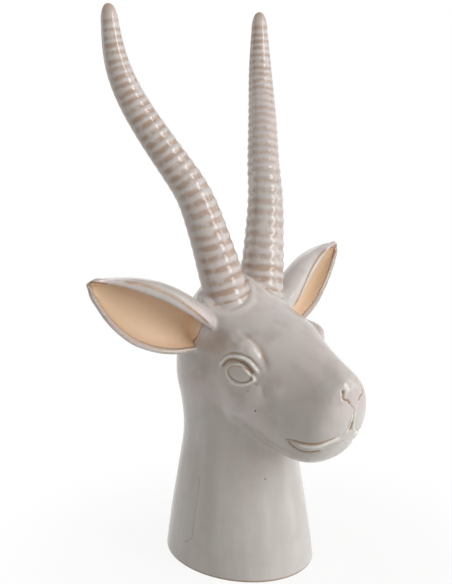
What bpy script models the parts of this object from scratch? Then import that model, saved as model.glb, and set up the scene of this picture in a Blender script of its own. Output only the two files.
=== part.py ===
"""A glazed ceramic antelope: head and neck on a flat foot, cast in one piece.

Millimetres in the tables, metres in the scene. +Z is up and the animal looks along -Y.
X = 0 is its mirror plane: each ear, horn and facial feature is given once and made twice.
The origin is on the ground, under the middle of the whole figure.
"""
import math

import bmesh
import bpy
import numpy as np
from mathutils import Matrix, Vector
from mathutils.bvhtree import BVHTree

MM = 0.001
SIDES = (-1, 1)

# Main sizes. The tables below are drawn at these; another value stretches what belongs to it.
NECK_HEIGHT = 88.0
FACE_LENGTH = 105.2
HORN_HEIGHT = 173.6

# Slip-cast wall, and the unglazed foot under the neck.
WALL = 5.0
THINNEST = 0.5
FOOT_WIDTH = 9.0
FOOT_RECESS = 1.8
FOOT_SIDES = 40
# Rounded lower edge of the foot: heights and how far the outline lies in there.
FOOT_EDGE = [(0.0, 0.8), (0.5, 0.25), (1.4, 0.0)]
VENT_RADIUS = 9.0
VENT_SIDES = 20

# Neck and skull: height, half width, half depth, middle of the depth.
NECK = [
    (-12, 47.4, 56.4, 0.0),
    (0, 46.3, 55.0, 0.0),
    (30, 42.6, 50.6, 0.0),
    (60, 38.2, 45.2, 0.0),
    (88, 34.6, 41.0, 0.0),
    (108, 36.0, 43.0, 0.0),
    (124, 39.6, 44.4, 0.5),
    (140, 39.8, 43.2, 0.5),
    (156, 37.4, 40.6, 0.5),
    (170, 33.0, 33.8, 1.5),
    (181, 27.0, 24.0, 3.0),
    (188, 20.0, 15.5, 2.5),
    (191.5, 11.0, 8.0, 0.0),
    (192.6, 3.0, 2.5, -1.0),
]
NECK_STEP = 4.0
THROAT_ROW = 4
OUTLINE_POINTS = 48

# Face: a second body that leaves the skull at FACE_HEIGHT and slopes down at FACE_TILT.
# Distance along it, half width, top, underside, level of the widest place, narrowing at the top.
FACE_HEIGHT = 150.0
FACE_TILT = 16.0
FACE = [
    (-12, 24, 26, -30, 0.0, 0.0),
    (0, 35, 33.0, -36, 0.0, 0.0),
    (14, 37.5, 33.2, -41, 0.0, 0.05),
    (28, 38, 31.8, -45, -1.0, 0.04),
    (42, 35.5, 30.5, -47, -4.0, 0.03),
    (56, 31.5, 28.1, -48.8, -9.0, 0.07),
    (70, 28.0, 26.0, -49.2, -13, 0.13),
    (82, 25.8, 24.3, -46.4, -14, 0.18),
    (91, 23.8, 22.6, -41.5, -12, 0.18),
    (97, 21.2, 20.4, -35.5, -9, 0.15),
    (101, 17.2, 14.5, -29.5, -7, 0.1),
    (103.2, 12.5, 7, -21.5, -8, 0),
    (104.6, 7.0, 0, -17, -8, 0),
    (105.2, 2.0, -6, -11, -8, 0),
]
FACE_STEP = 3.0
FACE_ROUNDNESS = 2.2

# Soft masses under the skin, one on each side: centre, radii, tilt and turn in degrees.
MASSES = [
    ((25.5, -33, 151.5), (10, 17, 8), -20, 12),
    ((25.5, -33, 120), (11, 22, 14), -25, 8),
    ((30, 2, 166), (12, 11, 12), 0, 0),
    ((17, 0, 178), (16, 14, 13), 0, 0),
]

# Ear: from its root to its tip, turned about its own length by EAR_ROLL degrees.
EAR_ROOT = (34.0, -3.0, 164.0)
EAR_TIP = (108.5, 13.5, 199.0)
EAR_FACING = (0.154, -0.979, 0.134)
EAR_ROLL = -15.0
EAR_WALL = 4.4
EAR_RIM_THINNING = 0.3
# Distance along, lower rim, upper rim, how far the upper rim curls forward, crest, cup depth.
EAR = [
    (-12, -12, -1, 9, 8.4, 9),
    (0, -15.0, 0.6, 10, 10.8, 12),
    (10, -20.6, 2.4, 10.2, 13.2, 13),
    (20, -24.6, 4.2, 9.4, 15.2, 13.5),
    (30, -26.6, 5.4, 8.0, 16.0, 14),
    (42, -26.4, 5.8, 6.0, 15.6, 14),
    (54, -23.0, 5.4, 4.0, 13.3, 13),
    (64, -18.4, 4.4, 2.6, 10.2, 11),
    (73, -12.6, 3.0, 1.4, 6.8, 8.5),
    (79, -8.2, 1.8, 0.7, 3.9, 6),
    (83, -3.8, 0.5, 0.3, 1.4, 3.6),
    (84.8, -2.2, -1.2, 0.0, -0.8, 1.4),
]
EAR_POINTS = 22
EAR_STEP = 3.0

# Horn: six places on its axis, equally spaced along the curve, and its radius at eleven.
HORN_AXIS = [
    (16.9, -3.2, 188.5),
    (27.9, 5.3, 234.0),
    (35.7, 15.4, 257.9),
    (49.2, 31.0, 287.5),
    (60.4, 45.3, 322.6),
    (63.8, 50.3, 362.1),
]
HORN_RADII = [14.6, 13.1, 12.1, 11.4, 11.0, 10.5, 9.9, 9.1, 8.1, 6.5, 4.5]
HORN_PLACES = 400
HORN_SINK = 16.0
HORN_SIDES = 14
HORN_TIP = 10.0
HORN_TIP_TURNS = (0, 30, 52, 70, 84)
# Rings: pitch at the skull and near the tip, depth of the grooves at both ends.
RING_FIRST = -9.8
RING_LAST = 179.0
RING_PITCH = (7.4, 4.3)
RING_DEPTH = (1.2, 0.2)

# Modelled lines of the face: places on one side, half width, height (a groove is below 0),
# share of the length over which each end runs out.
LINES = [
    ("brow dome", [(34.5, -22, 156), (33.5, -32, 157.5), (32.2, -39.5, 156), (30.4, -45.5, 152),
                   (29, -49.5, 146)], 5.6, 1.35, 0.35),
    ("brow edge", [(26.5, -33, 165), (27.5, -40.5, 163), (28, -46.5, 160), (26.6, -50, 154),
                   (26.6, -53.2, 147), (27, -55, 141)], 3.2, -1.4, 0.3),
    ("tear groove", [(29.5, -52.5, 138), (29.6, -55.5, 130.5), (29.3, -57.5, 125)],
     3.4, -1.0, 0.4),
    ("upper cheek", [(25.4, -62.8, 136), (26.4, -62.8, 130), (28, -60.9, 124)], 4.5, 0.8, 0.45),
    ("under eye", [(36, -32, 125), (35.6, -38, 126), (35, -44, 127.5)], 2.6, -1.0, 0.4),
    ("cheek fold", [(28, -63.5, 120), (27.6, -63.5, 115), (27, -62.5, 109)], 3.0, -0.9, 0.4),
    ("socket", [(38, -25, 134), (36, -34, 130), (34, -43, 131.5)], 2.8, -0.9, 0.3),
    ("lid crease", [(37, -23, 148), (36.2, -29, 151.5), (35.4, -36, 153), (33.6, -42.5, 151),
                    (30.8, -47, 147.6), (29.4, -51, 142)], 1.4, -1.2, 0.2),
    ("upper lid", [(38, -21.5, 141), (37.2, -27, 147), (36.3, -31, 150), (35.3, -36.8, 151),
                   (33.5, -42, 149), (31.4, -45.6, 146), (30, -49, 142.4), (29.6, -51.2, 139.6)],
     1.4, 1.4, 0.15),
    ("lid groove", [(38, -24.8, 140.4), (37.4, -28.2, 144.8), (36.4, -31.8, 147.8),
                    (35.2, -36.4, 148.7), (33.7, -41, 147.2), (32, -45, 144), (31, -48.7, 139.8)],
     1.3, -2.1, 0.12),
    ("eye rim", [(37.6, -28.9, 139.4), (37, -31.4, 143.6), (35.5, -35.8, 146), (34, -40, 145.6),
                 (33, -43, 143.8), (32, -46.2, 140.6), (32.2, -47.2, 137), (34, -44, 134.2),
                 (35.4, -39.6, 133), (36.4, -34.8, 133.4), (37.2, -31, 135.6),
                 (37.6, -28.9, 139.4)], 1.4, 1.9, 0),
    ("lip", [(24.6, -72.5, 103.9), (21.8, -80.7, 102), (18.5, -87.1, 102.4), (11, -94.3, 105.9),
             (7.5, -96.2, 107.4)], 1.5, 1.3, 0.2),
    ("lower lip", [(14, -92.6, 104.6), (7, -96.2, 106.4), (0, -97.2, 106.8)], 2.2, 0.5, 0.4),
    ("mouth line", [(25.2, -70.8, 105.4), (24.1, -75.5, 105), (22.5, -81.3, 104.9),
                    (20.2, -86.3, 105.2), (17.2, -90.6, 106.4), (13.4, -94.1, 108.4),
                    (9.3, -96.5, 110.6), (6.2, -98, 113), (4.6, -99.1, 116),
                    (4.1, -100, 119.6)], 1.2, -1.6, 0.1),
    ("lower lip line", [(24.6, -70, 101), (21.8, -75.8, 98.6), (20.3, -79.3, 97.9),
                        (18.4, -83.8, 98.4), (15.1, -88.7, 99.8), (11.2, -92.2, 101.6),
                        (5.8, -94.8, 103), (0, -96, 103.6)], 1.3, -1.3, 0.15),
    ("mouth corner", [(25.4, -69.6, 105), (25.2, -69.2, 101.6)], 1.7, -1.4, 0),
    ("philtrum", [(0, -101, 127), (0, -100.4, 120), (0, -99.3, 115.8), (0, -98.6, 112.4)],
     1.2, -1.6, 0.1),
    ("nose wing", [(4, -100.2, 137), (3, -100.6, 133), (1, -101, 129.5)], 3.3, 1.1, 0.3),
    ("nose groove", [(9, -98.6, 137.4), (9.7, -99, 135.4), (8.7, -99.9, 133), (7, -100.4, 132.8),
                     (5.6, -100.7, 131), (4.3, -100.8, 129.2), (0, -101, 126.4)],
     1.2, -1.5, 0.05),
    ("nostril", [(9, -98.6, 137.8), (9, -98.6, 137.2)], 1.5, -2.8, 0),
]
# A line reaches this many half widths, and so many places are measured at once.
LINE_REACH = 3.0
AT_ONCE = 20000
LINE_STEP = 0.5

# Eyeball: its middle, the way it looks, the line of its corners, half sizes and rise.
EYE_CENTRE = (35.2, -38.6, 140.2)
EYE_LOOK = (0.86, -0.5, 0.04)
EYE_CORNERS = (-0.47, -0.85, -0.26)
EYE_HALF = (7.6, 5.4)
EYE_RISE = 1.7
EYE_DITCH = 0.85
EYE_DITCH_WIDTH = 0.16

# Fineness of the cast skin: coarse masses, carved skin, and the facets that are left.
MASS_VOXEL = 2.5
MASS_SMOOTHING = 16
SKIN_VOXEL = 1.2
SKIN_SMOOTHING = 3
SKIN_FACETS = 6500
HOLLOW_VOXEL = 4.0
HOLLOW_FACETS = 640


def clear_scene():
    for thing in list(bpy.data.objects):
        bpy.data.objects.remove(thing, do_unlink=True)


def read_table(table, places):
    """The columns of a table of stations, read along a smooth curve at the given places."""
    rows = np.asarray(table, float)
    at, value = rows[:, 0], rows[:, 1:]
    slope = np.gradient(value, at, axis=0)
    places = np.asarray(places, float)
    low = np.clip(np.searchsorted(at, places, side="right") - 1, 0, len(at) - 2)
    gap = (at[low + 1] - at[low])[:, None]
    u = (places - at[low])[:, None] / gap
    start = (2 * u**3 - 3 * u**2 + 1) * value[low] + (u**3 - 2 * u**2 + u) * gap * slope[low]
    end = (3 * u**2 - 2 * u**3) * value[low + 1] + (u**3 - u**2) * gap * slope[low + 1]
    return start + end


def smooth_path(points, count):
    """That many points, evenly spaced, along a smooth curve through the given ones."""
    points = np.asarray(points, float)
    steps = np.linalg.norm(np.diff(points, axis=0), axis=1)
    along = np.concatenate([[0.0], np.cumsum(steps)])
    places = np.linspace(0.0, along[-1], count)
    if np.allclose(points[0], points[-1]):
        along = np.concatenate([[-steps[-1]], along, [along[-1] + steps[0]]])
        points = np.vstack([points[-2], points, points[1]])
    return read_table(np.column_stack([along, points]), places)


def make_mesh(name, points, faces):
    mesh = bpy.data.meshes.new(name)
    mesh.from_pydata([tuple(p) for p in points], [], faces)
    body = bmesh.new()
    body.from_mesh(mesh)
    bmesh.ops.recalc_face_normals(body, faces=body.faces)
    body.to_mesh(mesh)
    body.free()
    thing = bpy.data.objects.new(name, mesh)
    bpy.context.scene.collection.objects.link(thing)
    return thing


def loft(name, rings):
    """A closed skin over a row of rings with the same number of points."""
    sides = len(rings[0])
    faces = [tuple(range(sides - 1, -1, -1))]
    for row in range(len(rings) - 1):
        for i in range(sides):
            j = (i + 1) % sides
            first, second = row * sides, (row + 1) * sides
            faces.append((first + i, first + j, second + j, second + i))
    faces.append(tuple((len(rings) - 1) * sides + i for i in range(sides)))
    return make_mesh(name, np.concatenate(rings) * MM, faces)


def stations(start, stop, step, table):
    """Places every `step`, with those of the table among them."""
    return np.unique(np.concatenate([np.arange(start, stop, step), [row[0] for row in table]]))


def apply(thing, kind, **settings):
    modifier = thing.modifiers.new(kind, kind)
    for name, value in settings.items():
        setattr(modifier, name, value)
    bpy.context.view_layer.objects.active = thing
    bpy.ops.object.modifier_apply(modifier=modifier.name)


def combine(thing, other, operation):
    apply(thing, "BOOLEAN", operation=operation, solver="EXACT", object=other)
    bpy.data.objects.remove(other, do_unlink=True)


def join(name, things):
    bpy.ops.object.select_all(action="DESELECT")
    for thing in things:
        thing.select_set(True)
    bpy.context.view_layer.objects.active = things[0]
    bpy.ops.object.join()
    things[0].name = name
    return things[0]


def cut_level(thing, height):
    """Take away what lies below a height, and close the cut with a flat face."""
    body = bmesh.new()
    body.from_mesh(thing.data)
    everything = body.verts[:] + body.edges[:] + body.faces[:]
    bmesh.ops.bisect_plane(body, geom=everything, plane_co=(0, 0, height * MM),
                           plane_no=(0, 0, -1), clear_outer=True)
    bmesh.ops.holes_fill(body, edges=[edge for edge in body.edges if edge.is_boundary])
    body.to_mesh(thing.data)
    body.free()


def neck_and_skull(inset=0.0):
    angle = np.linspace(0, 2 * math.pi, OUTLINE_POINTS, endpoint=False)
    rings = []
    places = stations(NECK[0][0], NECK[-1][0] - NECK_STEP, NECK_STEP, NECK)
    for height, row in zip(places, read_table(NECK, places)):
        half_width, half_depth, middle = row
        half_width = max(half_width - inset, THINNEST)
        half_depth = max(half_depth - inset, THINNEST)
        ring = [half_width * np.cos(angle), middle + half_depth * np.sin(angle),
                np.full_like(angle, height - inset)]
        rings.append(np.stack(ring, axis=1))
    return loft("neck and skull", rings)


def face_stretch():
    """How much longer the face is made than its table."""
    return FACE_LENGTH / FACE[-1][0]


def face(inset=0.0):
    tilt = math.radians(FACE_TILT)
    forward = np.array([0, -math.cos(tilt), -math.sin(tilt)])
    upward = np.array([0, -math.sin(tilt), math.cos(tilt)])
    start = np.array([0, 0, FACE_HEIGHT])
    angle = np.linspace(0, 2 * math.pi, OUTLINE_POINTS, endpoint=False)
    rise = np.sign(np.sin(angle)) * np.abs(np.sin(angle)) ** (2 / FACE_ROUNDNESS)
    spread = np.sign(np.cos(angle)) * np.abs(np.cos(angle)) ** (2 / FACE_ROUNDNESS)
    rings = []
    places = stations(FACE[0][0], FACE[-1][0] - FACE_STEP, FACE_STEP, FACE)
    for along, row in zip(places, read_table(FACE, places)):
        half_width, top, underside, widest, narrowing = row
        half_width = max(half_width - inset, THINNEST)
        top = max(top - inset, widest + THINNEST)
        underside = min(underside + inset, widest - THINNEST)
        level = widest + np.where(rise > 0, rise * (top - widest), rise * (widest - underside))
        across = half_width * spread * (1 - narrowing * np.clip(rise, 0, 1))
        middle = start + forward * (along * face_stretch() - inset)
        rings.append(middle + np.outer(level, upward) + np.outer(across, [1, 0, 0]))
    return loft("face", rings)


def soft_mass(side, centre, radii, tilt, turn):
    bpy.ops.mesh.primitive_ico_sphere_add(subdivisions=4, radius=1.0)
    ball = bpy.context.active_object
    place = Matrix.Translation(Vector((side * centre[0], centre[1], centre[2])) * MM)
    turned = Matrix.Rotation(math.radians(turn * side), 4, "Z")
    tilted = Matrix.Rotation(math.radians(tilt), 4, "X")
    ball.data.transform(place @ turned @ tilted @ Matrix.Diagonal((*(Vector(radii) * MM), 1)))
    return ball


def ear_axes():
    """The ear's own directions: along it, up across it, and forward out of its cup."""
    along = np.subtract(EAR_TIP, EAR_ROOT)
    along = along / np.linalg.norm(along)
    forward = np.array(EAR_FACING) - np.dot(EAR_FACING, along) * along
    forward = forward / np.linalg.norm(forward)
    up = np.cross(forward, along)
    up = up * np.sign(up[2])
    roll = math.radians(EAR_ROLL)
    return along, math.cos(roll) * up - math.sin(roll) * forward, \
        math.cos(roll) * forward + math.sin(roll) * up


def ear_section(lower, upper, curl, crest, depth):
    """The cup's closed outline: outer skin, upper rim, inner skin, lower rim."""
    span = crest - lower
    half = min(EAR_WALL, 0.42 * span, 0.9 * depth + 0.6) / 2
    middle = smooth_path([
        (lower + half, min(half, 0.05 * span)),
        (lower + half + 0.06 * span, -0.4 * depth),
        (lower + 0.36 * span, half - depth),
        (lower + 0.68 * span, half - 0.93 * depth),
        (crest - half - 0.02 * span, -0.42 * depth),
        (crest - half, 0.28 * curl),
        (0.5 * (crest + upper) + 0.6, 0.72 * curl),
        (upper + 0.8 * half, curl - 0.5 * half),
    ], EAR_POINTS)
    heading = np.gradient(middle, axis=0)
    heading = heading / np.linalg.norm(heading, axis=1)[:, None]
    outward = np.stack([heading[:, 1], -heading[:, 0]], axis=1)
    reach = half * (1 - EAR_RIM_THINNING * np.linspace(0, 1, len(middle)) ** 2)[:, None]
    outer = middle + outward * reach
    inner = middle - outward * reach
    upper_rim = middle[-1] + heading[-1] * reach[-1]
    lower_rim = middle[0] - heading[0] * reach[0]
    return np.vstack([outer, upper_rim, inner[::-1], lower_rim])


def ear(side):
    along, up, forward = ear_axes()
    places = stations(EAR[0][0], EAR[-1][0] - EAR_STEP, EAR_STEP, EAR)
    rings = []
    for distance, row in zip(places, read_table(EAR, places)):
        section = ear_section(*row)
        ring = np.array(EAR_ROOT) + along * distance + np.outer(section[:, 0], up) \
            + np.outer(section[:, 1], forward)
        rings.append(ring * [side, 1, 1])
    return loft("ear", rings)


def horn_axis():
    """Distance along the horn, its axis and its radius there."""
    knots = np.array(HORN_AXIS, float)
    root = knots[0, 2]
    knots[:, 2] = root + (knots[:, 2] - root) * HORN_HEIGHT / (knots[-1, 2] - root)
    count = len(knots)
    system = np.eye(count)
    target = np.zeros((count, 3))
    for i in range(1, count - 1):
        system[i, i - 1:i + 2] = (1, 4, 1)
        target[i] = 6 * (knots[i + 1] - 2 * knots[i] + knots[i - 1])
    bend = np.linalg.solve(system, target)
    place = np.linspace(0, count - 1, HORN_PLACES)
    low = np.minimum(place.astype(int), count - 2)
    u = (place - low)[:, None]
    axis = (1 - u) * knots[low] + u * knots[low + 1] \
        + ((1 - u) ** 3 - (1 - u)) * bend[low] / 6 + (u**3 - u) * bend[low + 1] / 6
    steps = np.linalg.norm(np.diff(axis, axis=0), axis=1)
    along = np.concatenate([[0.0], np.cumsum(steps)])
    radius_at = np.linspace(0, count - 1, len(HORN_RADII))
    radius = read_table(np.column_stack([radius_at, HORN_RADII]), place)[:, 0]
    return along, axis, radius


def ring_rows():
    """Distance along the horn and rise of the skin: a groove, then a rounded ring, and so on."""
    rows = []
    place = RING_FIRST
    while place < RING_LAST:
        share = max(0.0, place / RING_LAST)
        pitch = RING_PITCH[0] + (RING_PITCH[1] - RING_PITCH[0]) * share**1.25
        depth = RING_DEPTH[0] + (RING_DEPTH[1] - RING_DEPTH[0]) * share
        rows.append((place, -0.5 * depth))
        rows.append((place + 0.5 * pitch, 0.5 * depth))
        place += pitch
    return rows


def horn(side):
    along, axis, radius = horn_axis()
    length = along[-1]
    heading = np.gradient(axis, along, axis=0)
    heading = heading / np.linalg.norm(heading, axis=1)[:, None]
    rows = [(-HORN_SINK, radius[0] + 1.0)]
    rows += [(place, np.interp(place, along, radius) + rise) for place, rise in ring_rows()]
    tip_start = length - HORN_TIP
    tip_radius = np.interp(tip_start, along, radius)
    for turn in np.radians(HORN_TIP_TURNS):
        rows.append((tip_start + HORN_TIP * math.sin(turn), tip_radius * math.cos(turn)))
    angle = np.linspace(0, 2 * math.pi, HORN_SIDES, endpoint=False)
    across = np.cross([0, 1, 0], heading[0])
    rings = []
    for place, reach in rows:
        middle = [np.interp(place, along, axis[:, k]) for k in range(3)]
        ahead = np.array([np.interp(place, along, heading[:, k]) for k in range(3)])
        middle = np.array(middle) + ahead * min(place, 0.0)
        across = across - np.dot(across, ahead) * ahead
        across = across / np.linalg.norm(across)
        other = np.cross(ahead, across)
        ring = middle + reach * (np.outer(np.cos(angle), across) + np.outer(np.sin(angle), other))
        rings.append(ring * [side, 1, 1])
    return loft("horn", rings)


def read_vectors(thing, kind):
    values = np.empty(len(thing.data.vertices) * 3, np.float32)
    thing.data.vertices.foreach_get(kind, values)
    return values.reshape(-1, 3).astype(float)


def write_places(thing, places):
    thing.data.vertices.foreach_set("co", places.astype(np.float32).ravel())
    thing.data.update()


def skin_tree(thing, places):
    return BVHTree.FromPolygons([tuple(p) for p in places],
                                [tuple(face.vertices) for face in thing.data.polygons])


def both_sides(points):
    """A line and its mirror image, or one line where it lies on or ends on the mirror plane."""
    mirrored = [(-x, y, z) for x, y, z in points]
    if mirrored == points:
        return [points]
    if points[-1][0] == 0:
        return [points + mirrored[-2::-1]]
    return [points, mirrored]


def with_face(points):
    """Places on the face, moved along with its length."""
    points = np.array(points, float)
    points[:, 1] *= face_stretch()
    return points


def line_strength(places, tree, points, half_width, fade):
    """1 on a line that is laid on the skin, falling to 0 beside it and towards its ends."""
    steps = np.linalg.norm(np.diff(points, axis=0), axis=1)
    line = smooth_path(points, 2 + int(steps.sum() / LINE_STEP)) * MM
    line = np.array([tree.find_nearest(Vector(point))[0] for point in line]) / MM
    reach = LINE_REACH * half_width
    inside = (places > line.min(axis=0) - reach) & (places < line.max(axis=0) + reach)
    near = np.where(inside.all(axis=1))[0]
    strength = np.zeros(len(places))
    for part in np.array_split(near, 1 + len(near) // AT_ONCE):
        squares = ((places[part][:, None] - line[None]) ** 2).sum(axis=2)
        profile = np.exp(-squares.min(axis=1) / half_width**2)
        if fade > 0:
            share = squares.argmin(axis=1) / (len(line) - 1)
            end = np.clip(np.minimum(share, 1 - share) / fade, 0, 1)
            profile = profile * end * end * (3 - 2 * end)
        strength[part] = profile
    return strength


def eyeball_lift(places, side):
    look = np.array(EYE_LOOK) / np.linalg.norm(EYE_LOOK)
    corners = np.array(EYE_CORNERS) - np.dot(EYE_CORNERS, look) * look
    corners = corners / np.linalg.norm(corners)
    offset = places * [side, 1, 1] - with_face([EYE_CENTRE])[0]
    lengthwise = offset @ corners / EYE_HALF[0]
    upright = offset @ np.cross(look, corners) / EYE_HALF[1]
    radius = np.hypot(lengthwise, upright)
    near = (radius < 1 + 3 * EYE_DITCH_WIDTH) & (np.abs(offset @ look) < max(EYE_HALF))
    dome = EYE_RISE * np.sqrt(np.clip(1 - radius**2, 0, 1))
    ditch = EYE_DITCH * np.exp(-(((radius - 1) / EYE_DITCH_WIDTH) ** 2))
    return (dome - ditch) * near


def carve(thing):
    """Measure every line on the plain skin, then move the skin once along its normals."""
    places = read_vectors(thing, "co")
    normals = read_vectors(thing, "normal")
    tree = skin_tree(thing, places)
    lift = sum(eyeball_lift(places / MM, side) for side in SIDES)
    for _, points, half_width, height, fade in LINES:
        for line in both_sides(points):
            lift = lift + height * line_strength(places / MM, tree, with_face(line),
                                                 half_width, fade)
    write_places(thing, places + normals * (lift * MM)[:, None])


def stretch_neck(thing):
    """Carry everything over the throat up or down with the height of the neck."""
    places = read_vectors(thing, "co")
    throat = NECK[THROAT_ROW][0] * MM
    places[:, 2] += (NECK_HEIGHT * MM - throat) * np.clip(places[:, 2] / throat, 0, 1)
    write_places(thing, places)


def round_foot(thing):
    """Draw the outline in towards the ground."""
    body = bmesh.new()
    body.from_mesh(thing.data)
    for height, _ in FOOT_EDGE[1:]:
        everything = body.verts[:] + body.edges[:] + body.faces[:]
        bmesh.ops.bisect_plane(body, geom=everything, plane_co=(0, 0, height * MM),
                               plane_no=(0, 0, 1))
    heights, insets = np.transpose(FOOT_EDGE)
    for vertex in body.verts:
        reach = vertex.co.xy.length
        inset = MM * np.interp(vertex.co.z / MM, heights, insets)
        if inset > 0:
            vertex.co.xy *= 1 - inset / reach
    body.to_mesh(thing.data)
    body.free()


def cast_skin():
    """Head, neck and ears as one skin, carved, then brought down to a few thousand facets."""
    masses = [neck_and_skull(), face()]
    for centre, radii, tilt, turn in MASSES:
        masses += [soft_mass(side, centre, radii, tilt, turn) for side in SIDES]
    skin = join("skin", masses)
    apply(skin, "REMESH", mode="VOXEL", voxel_size=MASS_VOXEL * MM)
    apply(skin, "SMOOTH", factor=0.5, iterations=MASS_SMOOTHING)
    skin = join("skin", [skin] + [ear(side) for side in SIDES])
    apply(skin, "REMESH", mode="VOXEL", voxel_size=SKIN_VOXEL * MM)
    apply(skin, "SMOOTH", factor=0.5, iterations=SKIN_SMOOTHING)
    carve(skin)
    triangles = sum(len(face.vertices) - 2 for face in skin.data.polygons)
    apply(skin, "DECIMATE", ratio=SKIN_FACETS / triangles)
    cut_level(skin, 0.0)
    round_foot(skin)
    return skin


def hollow():
    """The space that the poured-out slip leaves inside the neck, the skull and the muzzle."""
    space = join("hollow", [neck_and_skull(WALL), face(WALL)])
    apply(space, "REMESH", mode="VOXEL", voxel_size=HOLLOW_VOXEL * MM)
    apply(space, "SMOOTH", factor=0.5, iterations=6)
    triangles = sum(len(face.vertices) - 2 for face in space.data.polygons)
    apply(space, "DECIMATE", ratio=HOLLOW_FACETS / triangles)
    cut_level(space, WALL + FOOT_RECESS)
    return space


def plug(name, half_width, half_depth, low, high, sides):
    """An upright oval cutter."""
    angle = np.linspace(0, 2 * math.pi, sides, endpoint=False)
    outline = np.stack([half_width * np.cos(angle), half_depth * np.sin(angle)], axis=1)
    return loft(name, [np.column_stack([outline, np.full(sides, level)]) for level in (low, high)])


def centre_on_origin(thing):
    """Put the origin under the middle of the figure's length."""
    depth = read_vectors(thing, "co")[:, 1]
    middle = (depth.min() + depth.max()) / 2
    thing.data.transform(Matrix.Translation((0, -middle, 0)))


def glaze():
    material = bpy.data.materials.new("glaze")
    material.use_nodes = True
    shader = material.node_tree.nodes["Principled BSDF"]
    shader.inputs["Base Color"].default_value = (0.46, 0.42, 0.39, 1)
    shader.inputs["Roughness"].default_value = 0.2
    shader.inputs["Coat Weight"].default_value = 0.6
    return material


def build():
    clear_scene()
    figure = cast_skin()
    for side in SIDES:
        combine(figure, horn(side), "UNION")
    combine(figure, hollow(), "DIFFERENCE")
    base = NECK[1]
    recess = plug("recess", base[1] - FOOT_WIDTH, base[2] - FOOT_WIDTH, -FOOT_WIDTH,
                  FOOT_RECESS, FOOT_SIDES)
    combine(figure, recess, "DIFFERENCE")
    vent = plug("vent", VENT_RADIUS, VENT_RADIUS, -WALL, 3 * WALL, VENT_SIDES)
    combine(figure, vent, "DIFFERENCE")
    stretch_neck(figure)
    centre_on_origin(figure)
    figure.name = "antelope_head"
    figure.data.name = "antelope_head"
    figure.data.materials.clear()
    figure.data.materials.append(glaze())
    figure.data.shade_smooth()
    figure.data.set_sharp_from_angle(angle=math.radians(50))


build()
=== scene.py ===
# %% [markdown]
# # A glazed antelope head
# The real object is one slip-cast piece of stoneware: an oval neck, a long face, two leaf-shaped
# ears and two tall ringed horns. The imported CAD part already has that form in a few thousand
# facets. Here we model the same casting again as fine clay, with crisp eyelids, lips and horn
# rings, and then glaze it. The fine piece stands exactly where the CAD node stands.

# %% Load the frame
import math

import bmesh
import bpy
import numpy as np
from mathutils import Matrix, Vector
from mathutils.bvhtree import BVHTree
from mathutils.kdtree import KDTree


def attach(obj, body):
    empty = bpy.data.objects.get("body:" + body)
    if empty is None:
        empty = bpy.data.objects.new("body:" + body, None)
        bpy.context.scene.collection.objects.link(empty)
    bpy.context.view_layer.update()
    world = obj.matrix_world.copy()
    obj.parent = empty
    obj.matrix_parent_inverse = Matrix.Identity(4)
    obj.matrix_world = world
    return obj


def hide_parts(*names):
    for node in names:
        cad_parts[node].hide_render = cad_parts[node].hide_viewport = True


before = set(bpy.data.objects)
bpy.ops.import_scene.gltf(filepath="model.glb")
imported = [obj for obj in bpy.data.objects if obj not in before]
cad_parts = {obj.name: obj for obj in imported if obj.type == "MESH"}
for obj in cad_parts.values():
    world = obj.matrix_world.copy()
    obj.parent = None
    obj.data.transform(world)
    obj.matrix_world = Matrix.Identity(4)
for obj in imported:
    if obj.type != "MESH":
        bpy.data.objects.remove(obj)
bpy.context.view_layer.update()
bpy.ops.object.select_all(action="DESELECT")

# %% [markdown]
# ## Units and axes
# The tables below are in millimetres, with the foot of the neck centred on the origin. The animal
# looks along -Y and X = 0 is its mirror plane, so every feature is written once, on the +X side.
# The CAD part has its origin under the middle of the whole figure, so the finished piece is moved
# back by FOOT_PLACE at the end.

# %% Shared sizes
MM = 0.001
SIDES = (-1, 1)
FOOT_PLACE = 23.4
LOFT_SIDES = 48

# %% [markdown]
# ## Camera
# The photograph was taken from the animal's front right, a little above the eyes, with a long
# lens. Its direction and place were fitted until the figure's outline fell on the photographed one.

# %% Camera
VIEW_TURN = -41.7
VIEW_RISE = 12.1
CAMERA_PLACE = (-428.0, -467.0, 316.0)
LENS = 61.03


def aim_camera():
    turn = math.radians(VIEW_TURN)
    rise = math.radians(VIEW_RISE)
    back = Vector((math.sin(turn) * math.cos(rise), -math.cos(turn) * math.cos(rise),
                   math.sin(rise)))
    place = (Vector(CAMERA_PLACE) + Vector((0, FOOT_PLACE, 0))) * MM
    bpy.ops.object.camera_add(location=place, rotation=back.to_track_quat("Z", "Y").to_euler())
    camera = bpy.context.active_object
    camera.name = "photo_camera"
    camera.data.lens = LENS
    camera.data.clip_start = 0.01
    bpy.context.scene.camera = camera
    return camera


camera = aim_camera()
print("Camera at", [round(value, 3) for value in camera.location])

# %% [markdown]
# ## Smooth tables
# An organic form is easiest to steer by a few sections. A table gives the sizes at some stations,
# and a cubic curve through the rows gives every section between them.

# %% Reading a table along a smooth curve


def read_table(table, places):
    """The rows of a table at other places, along a cubic that follows the slope at each row."""
    rows = np.asarray(table, float)
    at, value = rows[:, 0], rows[:, 1:]
    slope = np.gradient(value, at, axis=0)
    places = np.asarray(places, float)
    low = np.clip(np.searchsorted(at, places, side="right") - 1, 0, len(at) - 2)
    gap = (at[low + 1] - at[low])[:, None]
    u = (places - at[low])[:, None] / gap
    start = (2 * u**3 - 3 * u**2 + 1) * value[low] + (u**3 - 2 * u**2 + u) * gap * slope[low]
    end = (3 * u**2 - 2 * u**3) * value[low + 1] + (u**3 - u**2) * gap * slope[low + 1]
    return start + end


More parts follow.
